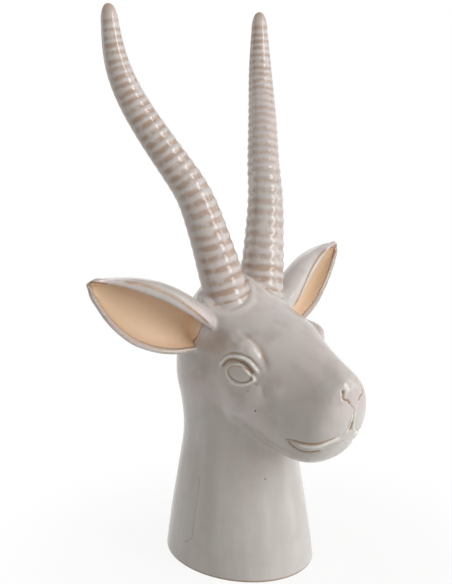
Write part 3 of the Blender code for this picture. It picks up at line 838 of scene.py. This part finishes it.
def oval_plug(name, half_width, half_depth, low, high):
    """An upright oval cutter."""
    bpy.ops.mesh.primitive_cylinder_add(vertices=64, radius=1, depth=1)
    plug = bpy.context.active_object
    plug.name = name
    plug.data.transform(Matrix.Translation((0, 0, (low + high) / 2 * MM))
                        @ Matrix.Diagonal((half_width * MM, half_depth * MM, (high - low) * MM, 1)))
    return plug


for other in (right_horn, left_horn):
    combine(skin, other, "UNION")
cut_level(skin)
_, foot_half_width, foot_half_depth, _ = NECK[1]
recess = oval_plug("recess", foot_half_width - FOOT_WIDTH, foot_half_depth - FOOT_WIDTH,
                   CUTTER_LOW, FOOT_RECESS)
combine(skin, recess, "DIFFERENCE")
vent = oval_plug("vent", VENT_RADIUS, VENT_RADIUS, CUTTER_LOW, VENT_DEPTH)
combine(skin, vent, "DIFFERENCE")
print("Casting:", count_triangles(skin), "triangles")

# %% [markdown]
# ## Softening
# The union leaves a sharp crease where a horn meets the skull, and on the real piece slip and
# glaze have filled it. A smoothing pass that is weighted by the distance to both surfaces rounds
# the crease and nothing else. At the foot the glaze was wiped off, which rounds the lower edge.

# %% Soften the roots of the horns and the edge of the foot
ROOT_REACH = 2.2
ROOT_PASSES = 5
ROOT_LEAST = 0.05
FAR = 100.0
FOOT_OUTSIDE = 0.9
# Height over the ground, and how far the outline is drawn in there.
FOOT_EDGE = [(0.0, 0.9), (0.25, 0.6), (0.6, 0.3), (1.1, 0.08), (1.8, 0.0)]


def soften_roots(piece):
    """Smooth the crease where horn and skull meet, and nothing else."""
    places = read_vectors(piece, "co") / MM
    along, height = horn_place(places)
    group = piece.vertex_groups.new(name="roots")
    low = np.where(along < COLLAR_END)[0]
    gap = np.full(len(places), FAR)
    gap[low] = [tree.find_nearest(Vector(place * MM))[3] / MM for place in places[low]]
    crease = np.where(along > -HORN_SINK + 1, np.maximum(np.abs(height), gap), FAR)
    weight = np.exp(-((crease / ROOT_REACH) ** 2))
    for i in np.where(weight > ROOT_LEAST)[0]:
        group.add([int(i)], float(weight[i]), "REPLACE")
    apply(piece, "SMOOTH", factor=0.5, iterations=ROOT_PASSES, vertex_group="roots")
    piece.vertex_groups.clear()


def round_foot(piece):
    """Draw the outline in towards the ground, as a wiped glaze edge."""
    places = read_vectors(piece, "co") / MM
    inset = np.interp(places[:, 2], *np.transpose(FOOT_EDGE))
    reach = np.linalg.norm(places[:, :2], axis=1)
    outer = reach > FOOT_OUTSIDE * NECK[2][1]
    share = np.where(outer, 1 - inset / np.maximum(reach, 1.0), 1.0)
    places[:, :2] *= share[:, None]
    write_places(piece, places * MM)


soften_roots(skin)
round_foot(skin)
print("Softened:", len(skin.data.vertices), "points")

# %% [markdown]
# ## Thinning
# A collapse decimation brings the mesh down to MOST_TRIANGLES. A piece should stay below 200,000
# triangles. It takes them from the calm surfaces of the neck first and leaves the rings and lids
# alone. It can push a point a hair below the ground, so the foot is set level again.

# %% Thin the mesh
MOST_TRIANGLES = 190000

if count_triangles(skin) > MOST_TRIANGLES:
    apply(skin, "DECIMATE", ratio=MOST_TRIANGLES / count_triangles(skin))
bpy.ops.object.select_all(action="DESELECT")
skin.select_set(True)
bpy.context.view_layer.objects.active = skin
bpy.ops.object.shade_smooth()
places = read_vectors(skin, "co")
places[:, 2] = np.maximum(places[:, 2], 0.0)
write_places(skin, places)
print("Thinned:", count_triangles(skin), "triangles")

# %% [markdown]
# ## What the glaze needs to know
# The glaze is thin on edges, pools in grooves and stops at the bare clay in the ears. These facts
# are measured once on the finished mesh and stored as attributes, so the material needs no image
# and no painting.
#
# - clay: millimetres inside the edge of the bare clay, negative on the glaze
# - brown, and the pale tone: how brown the glaze breaks, and how pale it stays, along the lines of
#   the face; the pale is partly a painted highlight on the raised lines
# - ring: 1 in a groove of a horn, 0 on a crest
# - broken: how much the glaze breaks in the grooves there
# - tip: 0 along a horn, rising to 1 at its end
#
# The clay is found from the middle lines of the ear. A place is in the cup where it lies on the
# inward side of the nearest line, and the rest of that line's length up to a rim says how far
# inside it is.

# %% Clay inside the ears
CLAY_GRID = 150
CLAY_LOW_MARGIN = 0.6
CLAY_HIGH_MARGIN = 0.3
CLAY_END = 83.0
# Past this distance the leaf is so thin that the skin's own direction tells inside from outside.
CLAY_NARROW = 62.0
# Beside the skull the cup is a pocket, and the skull itself is its end wall.
POCKET_END = 14.0
POCKET_GAP = 2.6
POCKET_DEPTH = 4.0
POCKET_LOW_MARGIN = 1.0
POCKET_HIGH_MARGIN = 4.0
# Level across the ear, and the distance along it where the clay meets the skull.
CLAY_ROOT = [(-22, -1.8), (-18.7, -1.1), (-9.4, 0.6), (-2, 2.5), (0.9, 3.0), (4.2, 4.0)]
ROOT_STEEPNESS = 4
OPENING_STEEPNESS = 3
CUP_HALF_HEIGHT = 32.0
CUP_HALF_DEPTH = 20.0
OFF_CLAY = -10.0


def finder_of(spots):
    """A tree that finds the nearest of the spots."""
    finder = KDTree(len(spots))
    for i, spot in enumerate(spots):
        finder.insert(Vector(spot), i)
    finder.balance()
    return finder


def cup_lines():
    """Rows of the ear's table, and the places, inward directions and arcs of its middle lines."""
    distances = np.linspace(EAR[0][0], EAR[-1][0], CLAY_GRID)
    rows = read_table(EAR, distances)
    spots, arcs, inward = [], [], []
    for distance, row in zip(distances, rows):
        line, _ = ear_middle_line(*row)
        heading = headings(line)
        steps = np.linalg.norm(np.diff(line, axis=0), axis=1)
        arc = np.concatenate([[0.0], np.cumsum(steps)])
        spots.append(in_ear(distance, line))
        inward.append(in_ear(distance, line + np.stack([-heading[:, 1], heading[:, 0]], axis=1)))
        arcs.append(np.stack([arc, arc[-1] - arc], axis=1))
    spots, inward, arcs = np.vstack(spots), np.vstack(inward), np.vstack(arcs)
    return distances, rows, spots, inward - spots, arcs


def clay_edge(places, normals):
    """Millimetres inside the bare clay of the cups; negative outside."""
    distances, rows, spots, inward, arcs = cup_lines()
    finder = finder_of(spots)
    folded = fold(places)
    normals = normals * np.where(places[:, :1] < 0, [-1, 1, 1], [1, 1, 1])
    offset = folded - np.array(EAR_ROOT)
    distance, rise, out = (offset @ direction for direction in ear_axes())
    lower, upper, curl = (np.interp(distance, distances, rows[:, k]) for k in range(3))
    behind = curl * np.clip((rise - lower) / (upper - lower), 0, 1) - out
    root = ROOT_STEEPNESS * (distance - np.interp(rise, *np.transpose(CLAY_ROOT)))
    below = rise < upper + POCKET_HIGH_MARGIN
    in_pocket = (distance < POCKET_END) & (out > -POCKET_DEPTH) & (behind > 0) & below \
        & (rise > lower + POCKET_LOW_MARGIN)
    edge = np.full(len(places), OFF_CLAY)
    for i in np.where((distance > EAR[0][0]) & (np.abs(rise) < CUP_HALF_HEIGHT)
                      & (np.abs(out) < CUP_HALF_DEPTH))[0]:
        _, k, gap = finder.find(Vector(folded[i]))
        if in_pocket[i] and gap > POCKET_GAP:
            edge[i] = min(root[i], OPENING_STEEPNESS * behind[i])
            continue
        toward = normals[i] if distance[i] > CLAY_NARROW else folded[i] - spots[k]
        inner = np.dot(toward, inward[k]) > 0
        if gap > EAR_WALL and not (inner and rise[i] > lower[i] and below[i]):
            continue
        side = 1 if inner else -1
        edge[i] = min(side * arcs[k][0] - CLAY_LOW_MARGIN, side * arcs[k][1] - CLAY_HIGH_MARGIN,
                      root[i], CLAY_END - distance[i])
        if distance[i] > CLAY_NARROW:
            edge[i] = min(edge[i], upper[i] + 0.5 - rise[i])
        if gap > 0.75 * EAR_WALL:
            edge[i] = min(edge[i], OPENING_STEEPNESS * behind[i])
    return edge


# %% Broken glaze on the horns
# Its share at distances along the horn, on the animal's right and on its left.
BROKEN_SHARES = {
    -1: [(0, 0.7), (60, 0.6), (110, 0.75), (150, 0.6), (200, 0.7)],
    1: [(0, 0.75), (20, 0.45), (110, 0.35), (150, 0.6), (200, 0.65)],
}
HORN_SKIN = 2.0
TIP_COLOUR_START = RING_LAST - 10.0
TIP_COLOUR_LENGTH = 18.0


def on_rings(along, height):
    return (height < HORN_SKIN) & (along > RING_FIRST)


def ring_groove(along, height):
    """1 in a groove of a horn, 0 on the crests and off the horns."""
    return np.where(on_rings(along, height), 1 - ring_phase(along), 0.0)


def broken_share(places, along, height):
    """How brown the grooves are there: most on the broken side of a horn, not at all behind it."""
    middle = np.stack([np.interp(along, HORN_ALONG, HORN_LINE[:, k]) for k in range(3)], axis=1)
    offset = fold(places) - middle
    side = facing_share((offset @ BROKEN_SIDE) / np.maximum(np.linalg.norm(offset, axis=1), 1.0))
    right, left = (np.interp(along, *np.transpose(BROKEN_SHARES[key])) for key in SIDES)
    return side * np.where(places[:, 0] < 0, right, left) * on_rings(along, height)


def horn_end(along):
    """0 along the horn, rising to 1 at its tip."""
    return smooth_step((along - TIP_COLOUR_START) / TIP_COLOUR_LENGTH)


# %% [markdown]
# ## Storing the facts
# The lines were laid on the uncarved skin, so their tones are measured there. Union and thinning
# have changed the mesh since, and each of its points takes the tone of the nearest carved one.

# %% Measure and store


def store(piece, name, values):
    attribute = piece.data.attributes.new(name, "FLOAT", "POINT")
    attribute.data.foreach_set("value", np.asarray(values, np.float32))


def tones(places):
    """How brown the glaze breaks and how pale it stays, from the lines and the eyeballs. On the
    raised lines the pale is partly a painted highlight.
    """
    brown = sum(eye_lift(places, side)[1] for side in SIDES) * EYE_TONE
    pale_and_highlight = COLLAR_TONE * collar(places)
    for path, half_width, _, tone, fade in lines:
        strength = abs(tone) * line_strength(places, path, half_width, fade)
        if tone > 0:
            brown = np.maximum(brown, strength)
        else:
            pale_and_highlight = np.maximum(pale_and_highlight, strength)
    return brown, pale_and_highlight


def nearest_of(spots, places):
    finder = finder_of(spots)
    return np.array([finder.find(Vector(place))[1] for place in places])


brown, pale_and_highlight = tones(uncarved_places)
places = read_vectors(skin, "co") / MM
same = nearest_of(carved_places, places)
along, height = horn_place(places)
store(skin, "brown", brown[same])
store(skin, "pale_and_highlight", pale_and_highlight[same])
store(skin, "clay", clay_edge(places, read_vectors(skin, "normal")))
store(skin, "ring", ring_groove(along, height))
store(skin, "broken", broken_share(places, along, height))
store(skin, "tip", horn_end(along))
print("Measured", len(places), "points")

# %% [markdown]
# ## Glaze
# The glaze is a reactive white. Where it is thick it drifts between warm and cool, it has run down
# the neck, and where it is thin it breaks brown. A painted texture would need an unwrapped skin
# and has seams. Noise in object space has neither, so the finish is a stack of colours: each layer
# is mixed over the last one, by height, by noise or by one of the stored facts.

# %% A short way to write nodes


def srgb(red, green, blue):
    """A colour as seen on screen, 0 to 255, in the linear values that a shader takes."""
    return tuple((value / 255 / 12.92 if value <= 10 else ((value / 255 + 0.055) / 1.055) ** 2.4)
                 for value in (red, green, blue)) + (1.0,)


class Nodes:
    """One material, with short ways to add and wire its nodes."""

    def __init__(self, name):
        self.material = bpy.data.materials.new(name)
        self.material.use_nodes = True
        self.tree = self.material.node_tree
        self.shader = self.tree.nodes["Principled BSDF"]

    def add(self, kind, inputs=None, **settings):
        node = self.tree.nodes.new("ShaderNode" + kind)
        for name, value in settings.items():
            setattr(node, name, value)
        for name, value in (inputs or {}).items():
            if isinstance(value, bpy.types.NodeSocket):
                self.tree.links.new(value, node.inputs[name])
            else:
                node.inputs[name].default_value = value
        return node

    def attribute(self, name):
        return self.add("Attribute", attribute_name=name).outputs["Fac"]

    def ramp(self, value, low, high):
        """A soft step: 0 at low, 1 at high."""
        node = self.add("MapRange", {"Value": value, "From Min": low, "From Max": high},
                        interpolation_type="SMOOTHSTEP")
        return node.outputs["Result"]

    def math(self, operation, first, second=0.0):
        return self.add("Math", {0: first, 1: second}, operation=operation).outputs[0]

    def product(self, first, second):
        return self.math("MULTIPLY", first, second)

    def vector(self, operation, first, second):
        node = self.add("VectorMath", {0: first, 1: second}, operation=operation)
        return node.outputs["Value" if operation in ("DOT_PRODUCT", "DISTANCE") else "Vector"]

    def mix(self, factor, first, second):
        node = self.add("Mix", {0: factor, 6: first, 7: second}, data_type="RGBA")
        return node.outputs[2]

    def noise(self, scale, detail, where=None):
        where = where or self.add("TexCoord").outputs["Object"]
        values = {"Vector": where, "Scale": scale, "Detail": detail}
        return self.add("TexNoise", values).outputs["Fac"]

    def wire(self, socket, name):
        self.tree.links.new(socket, self.shader.inputs[name])


# %% [markdown]
# ## The glaze itself
# Two large drifts of colour, streaks that have run down the neck, and a fine mauve mottle. The
# streaks are laid on strongly, so they are also a painted highlight in place of the soft upright
# reflections on the neck. Stretching the noise along Z turns its clouds into runs.

# %% Body of the glaze
GLAZE_PALE = srgb(216, 212, 209)
GLAZE_WARM = srgb(208, 195, 194)
GLAZE_COOL = srgb(199, 196, 190)
GLAZE_MAUVE = srgb(176, 163, 160)
# Noise scales, in waves per metre, and the heights in metres between which face turns to neck.
CLOUD_SCALE = 26.0
DRIFT_SCALE = 14.0
RUN_SHEEN_SCALE = 75.0
RUN_SHEEN_STRETCH = 0.05
MOTTLE_SCALE = 60.0
NECK_FROM = (0.135, 0.085)


def glaze_body(nodes, where, height):
    on_neck = nodes.ramp(height, *NECK_FROM)
    cloud = nodes.math("SUBTRACT", nodes.noise(CLOUD_SCALE, 4.0), nodes.product(on_neck, 0.1))
    body = nodes.mix(nodes.ramp(cloud, 0.25, 0.6), GLAZE_COOL, GLAZE_WARM)
    drift = nodes.ramp(nodes.noise(DRIFT_SCALE, 3.0), 0.35, 0.7)
    body = nodes.mix(nodes.product(drift, 0.6), body, GLAZE_PALE)
    upright = nodes.add("Mapping", {"Vector": where, "Scale": (1.0, 1.0, RUN_SHEEN_STRETCH)}).outputs[0]
    # Pale upright streaks on the neck: glaze runs and a painted highlight together.
    runs_and_sheen = nodes.ramp(nodes.noise(RUN_SHEEN_SCALE, 3.0, upright), 0.3, 0.7)
    body = nodes.mix(nodes.product(nodes.product(runs_and_sheen, on_neck), 0.75), body, GLAZE_PALE)
    mottle = nodes.ramp(nodes.noise(MOTTLE_SCALE, 7.0), 0.45, 0.75)
    share = nodes.math("SUBTRACT", 0.5, nodes.product(on_neck, 0.3))
    return nodes.mix(nodes.product(mottle, share), body, GLAZE_MAUVE)


# %% [markdown]
# ## Where the glaze breaks
# Ring grooves, the grooves of the face and the wiped edge of the foot all turn the same brown.
# A patchy noise is added to the ring fact before it is cut, so no stripe is a clean band.

# %% Breaks and crests
# Pale glaze of the raised lines, made lighter as a painted highlight.
GLAZE_WHITE_AND_HIGHLIGHT = srgb(234, 235, 229)
GLAZE_BROWN = srgb(166, 130, 98)
GLAZE_CREST = srgb(213, 205, 202)
GLAZE_TIP = srgb(184, 152, 120)
PATCH_SCALE = 150.0
FOOT_BAND = (0.002, 0.0008)


def broken_glaze(nodes, body, height):
    """Horn tips, pale crests and every brown break over the body of the glaze. The pale of the
    raised face lines is partly a painted highlight.
    """
    patch = nodes.noise(PATCH_SCALE, 3.0)
    broken = nodes.attribute("broken")
    ring = nodes.math("ADD", nodes.attribute("ring"),
                      nodes.product(nodes.math("SUBTRACT", patch, 0.5), 0.7))
    body = nodes.mix(nodes.product(broken, 0.9), body, GLAZE_CREST)
    stripe = nodes.product(nodes.ramp(ring, 0.2, 0.8),
                           nodes.product(broken, nodes.ramp(patch, 0.25, 0.55)))
    body = nodes.mix(nodes.product(nodes.attribute("tip"), 0.9), body, GLAZE_TIP)
    # The pale raised lines: pale glaze and a painted highlight together.
    body = nodes.mix(nodes.ramp(nodes.attribute("pale_and_highlight"), 0.1, 0.85), body, GLAZE_WHITE_AND_HIGHLIGHT)
    brown = nodes.math("MAXIMUM", nodes.ramp(nodes.attribute("brown"), 0.1, 0.9), stripe)
    foot = nodes.product(nodes.ramp(height, *FOOT_BAND), 0.8)
    return nodes.mix(nodes.math("MAXIMUM", brown, foot), body, GLAZE_BROWN)


# %% [markdown]
# ## Pinholes and hairlines
# Kiln marks are a few tenths of a millimetre wide, finer than the mesh. So the shader measures
# the distance to each of them itself, and darkens what is nearer than the mark is wide. They are
# on the animal's right side only.

# %% Marks
SPECK_DARK = srgb(92, 76, 58)
HAIR_DARK = srgb(150, 138, 124)
# Place and radius of each.
PINHOLES = [
    ((-32.0, -49.5, 118.6), 0.7),
    ((-34.1, -45.0, 130.6), 0.45),
    ((-14.3, -40.2, 66.4), 0.6),
    ((-35.1, -24.2, 155.6), 0.45),
]
# Two ends and half width of each.
HAIRLINES = [
    ((-37.5, -3.2, 62.7), (-42.1, -2.3, 32.2), 0.4),
    ((-42.1, -2.3, 32.2), (-43.6, -1.6, 21.1), 0.4),
    ((-43.6, -1.6, 21.1), (-44.0, 1.8, 17.9), 0.5),
    ((-44.0, 1.8, 17.9), (-44.0, 4.9, 16.2), 0.6),
    ((-33.9, 16.5, 69.1), (-39.6, 18.6, 29.2), 0.25),
]


def in_piece(spot):
    """A place in the tables, in metres in the finished piece."""
    return (Vector(spot) + Vector((0, FOOT_PLACE, 0))) * MM


def gap_to_line(nodes, where, start, end):
    """Distance from the shaded place to the straight line between two places."""
    start, end = in_piece(start), in_piece(end)
    run = end - start
    offset = nodes.vector("SUBTRACT", where, start)
    share = nodes.add("Math", {0: nodes.vector("DOT_PRODUCT", offset, run / run.length_squared),
                               1: 1.0}, operation="MULTIPLY", use_clamp=True).outputs[0]
    foot = nodes.add("VectorMath", {0: run, "Scale": share}, operation="SCALE").outputs[0]
    return nodes.vector("DISTANCE", offset, foot)


def kiln_marks(nodes, body, where):
    for start, end, half_width in HAIRLINES:
        line = nodes.ramp(gap_to_line(nodes, where, start, end), half_width * MM, 0.0)
        body = nodes.mix(nodes.product(line, 0.7), body, HAIR_DARK)
    for spot, radius in PINHOLES:
        gap = nodes.vector("DISTANCE", where, in_piece(spot))
        body = nodes.mix(nodes.ramp(gap, 1.3 * radius * MM, 0.4 * radius * MM), body, SPECK_DARK)
    return body


# %% [markdown]
# ## Bare clay, gloss and the whole material
# In the ears the clay was masked off: tan, dull and lightly grained, with a brown line where the
# glaze ends. Towards the skull the tan is painted lighter: painted light against the shade deep in
# the cup. It is the same skin, so it shares the material, and the clay fact switches colour
# and roughness. Glaze is never quite flat, which a weak, wide bump shows in the highlights.

# %% Material of the casting
CLAY_TIP = srgb(212, 184, 154)
# A lighter tan deep in the cup: painted light against its shade.
CLAY_PAINTED_LIGHT = srgb(240, 212, 184)
CLAY_RIM = srgb(158, 112, 66)
# Distances from the mirror plane, in metres, between which the clay turns from the tip colour to a
# lighter tan, painted light against the shade deep in the cup.
PAINTED_LIGHT_ASIDE = (0.098, 0.055)
GRAIN_SCALE = 1400.0
WAVE_SCALE = 75.0
WAVE_HEIGHT = 0.0012
GLAZE_ROUGHNESS = 0.18
CLAY_ADDED_ROUGHNESS = 0.65


def bare_clay(nodes, body, aside):
    """The glaze colour with the clay and its rim laid over it, and where the clay is. The clay is
    painted lighter towards the skull, as painted light against the shade deep in the cup.
    """
    clay = nodes.attribute("clay")
    # Lighter towards the skull: painted light against the shade of the cup.
    tan_and_painted_light = nodes.mix(nodes.ramp(aside, *PAINTED_LIGHT_ASIDE), CLAY_TIP, CLAY_PAINTED_LIGHT)
    grain = nodes.ramp(nodes.noise(GRAIN_SCALE, 2.0), 0.3, 0.7)
    tan_and_painted_light = nodes.mix(nodes.product(grain, 0.3), tan_and_painted_light, CLAY_TIP)
    inside = nodes.ramp(clay, -0.12, 0.12)
    rim = nodes.ramp(nodes.math("ABSOLUTE", clay), 0.85, 0.35)
    return nodes.mix(nodes.product(rim, 0.9), nodes.mix(inside, body, tan_and_painted_light), CLAY_RIM), inside


def casting_material():
    nodes = Nodes("glaze")
    where = nodes.add("TexCoord").outputs["Object"]
    place = nodes.add("SeparateXYZ", {0: where}).outputs
    body = glaze_body(nodes, where, place["Z"])
    body = broken_glaze(nodes, body, place["Z"])
    body = kiln_marks(nodes, body, where)
    colour, inside = bare_clay(nodes, body, nodes.math("ABSOLUTE", place["X"]))
    wave = nodes.add("Bump", {"Height": nodes.noise(WAVE_SCALE, 2.0), "Strength": 0.3,
                              "Distance": WAVE_HEIGHT})
    nodes.wire(wave.outputs[0], "Normal")
    nodes.wire(colour, "Base Color")
    nodes.wire(nodes.math("ADD", GLAZE_ROUGHNESS, nodes.product(inside, CLAY_ADDED_ROUGHNESS)),
               "Roughness")
    nodes.shader.inputs["IOR"].default_value = 1.5
    return nodes.material


skin.data.materials.clear()
skin.data.materials.append(casting_material())
print("Glaze:", len(skin.data.materials[0].node_tree.nodes), "nodes")

# %% [markdown]
# ## Into the frame
# The mesh moves back by FOOT_PLACE, and the object itself stays at the origin.

# %% Put the piece in its place
skin.name = "glazed_antelope"
skin.data.name = "glazed_antelope"
skin.data.transform(Matrix.Translation((0, FOOT_PLACE * MM, 0)))
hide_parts("antelope_head")
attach(skin, "root")
print("Placed", skin.name)

# %% [markdown]
# ## Studio
# The photograph shows the figure on plain white, under large soft lights. A really white room
# would flood the glaze with light and leave no shading. So floor and world are pure white to the
# camera and in reflections only, which the Light Path node can tell, and light the figure as a dim
# room would. Close to the figure a share of the real floor is left, and with it the soft shadow.

# %% Floor and world
FLOOR_SIZE = 6.0
FLOOR_NEAR_SHARE = 0.9
FLOOR_NEAR_REACH = (0.06, 0.22)
ROOM_LIGHT = (0.2, 0.186, 0.16)


def studio_white(name, near_share):
    """Diffuse white that the camera and the glaze see as pure white, away from the figure."""
    nodes = Nodes(name)
    nodes.shader.inputs["Base Color"].default_value = (0.85, 0.85, 0.85, 1)
    nodes.shader.inputs["Roughness"].default_value = 1.0
    nodes.shader.inputs["Specular IOR Level"].default_value = 0.0
    glow = nodes.add("Emission", {"Color": (1, 1, 1, 1), "Strength": 1.0})
    path = nodes.add("LightPath").outputs
    seen = nodes.math("MAXIMUM", path["Is Camera Ray"], path["Is Glossy Ray"])
    where = nodes.add("TexCoord").outputs["Object"]
    reach = nodes.add("VectorMath", {0: where}, operation="LENGTH").outputs["Value"]
    share = nodes.add("MapRange", {"Value": reach, "From Min": FLOOR_NEAR_REACH[0],
                                   "From Max": FLOOR_NEAR_REACH[1], "To Min": near_share},
                      interpolation_type="SMOOTHSTEP").outputs["Result"]
    mixed = nodes.add("MixShader", {0: nodes.product(seen, share), 1: nodes.shader.outputs[0],
                                    2: glow.outputs[0]})
    output = nodes.tree.nodes["Material Output"]
    nodes.tree.links.new(mixed.outputs[0], output.inputs["Surface"])
    return nodes.material


def studio_world(light):
    """White to the camera and in reflections; a dim room of the given colour as light."""
    world = bpy.data.worlds.new("studio")
    world.use_nodes = True
    tree = world.node_tree
    path = tree.nodes.new("ShaderNodeLightPath")
    colour = tree.nodes.new("ShaderNodeMix")
    colour.data_type = "RGBA"
    colour.inputs[6].default_value = (*light, 1)
    colour.inputs[7].default_value = (1, 1, 1, 1)
    seen = tree.nodes.new("ShaderNodeMath")
    seen.operation = "MAXIMUM"
    tree.links.new(path.outputs["Is Camera Ray"], seen.inputs[0])
    tree.links.new(path.outputs["Is Glossy Ray"], seen.inputs[1])
    tree.links.new(seen.outputs[0], colour.inputs[0])
    tree.links.new(colour.outputs[2], tree.nodes["Background"].inputs["Color"])
    bpy.context.scene.world = world


bpy.ops.mesh.primitive_plane_add(size=FLOOR_SIZE, location=(0, 0, 0))
floor = bpy.context.active_object
floor.name = "floor"
floor.data.materials.append(studio_white("studio_floor", FLOOR_NEAR_SHARE))
studio_world(ROOM_LIGHT)
bpy.context.scene.view_settings.view_transform = "Standard"
print("Floor and world:", floor.name, bpy.context.scene.world.name)

# %% [markdown]
# ## Lamps
# Upright soft boxes leave the long highlights that run down the horns and the neck. The key
# stands in front, a little to the figure's left, with fills to both sides of it. Two lamps behind
# the figure's right rim the neck and the ear, and one behind it keeps the back readable.

# %% Soft boxes
LAMP_AIM = Vector((0, 0, 0.17))
LAMP_GAP = 1.5
UPRIGHT = (0.45, 1.2)
SQUARE = (0.9, 0.9)
# The names say where a lamp is in the picture. Turn from the front towards the figure's left and
# rise, in degrees; size in metres; watts.
LAMPS = {
    "key": (15, 22, UPRIGHT, 13.8),
    "right_fill": (50, 22, UPRIGHT, 3.6),
    "front_fill": (-30, 22, UPRIGHT, 0.8),
    "left_edge": (-150, 22, UPRIGHT, 2.3),
    "left_top": (-100, 60, SQUARE, 1.6),
    "back_fill": (150, 30, SQUARE, 2.5),
}


def softbox(name, turn, rise, size, power):
    """A rectangular lamp at LAMP_GAP from the middle of the head, turned to look at it."""
    turn, rise = math.radians(turn), math.radians(rise)
    place = LAMP_AIM + LAMP_GAP * Vector((math.sin(turn) * math.cos(rise),
                                          -math.cos(turn) * math.cos(rise), math.sin(rise)))
    bpy.ops.object.light_add(type="AREA", location=place)
    lamp = bpy.context.active_object
    lamp.name = name
    lamp.data.shape = "RECTANGLE"
    lamp.data.size, lamp.data.size_y = size
    lamp.data.energy = power
    lamp.rotation_euler = (LAMP_AIM - place).to_track_quat("-Z", "Y").to_euler()


for name, (turn, rise, size, power) in LAMPS.items():
    softbox(name, turn, rise, size, power)
print("Lamps:", ", ".join(LAMPS))
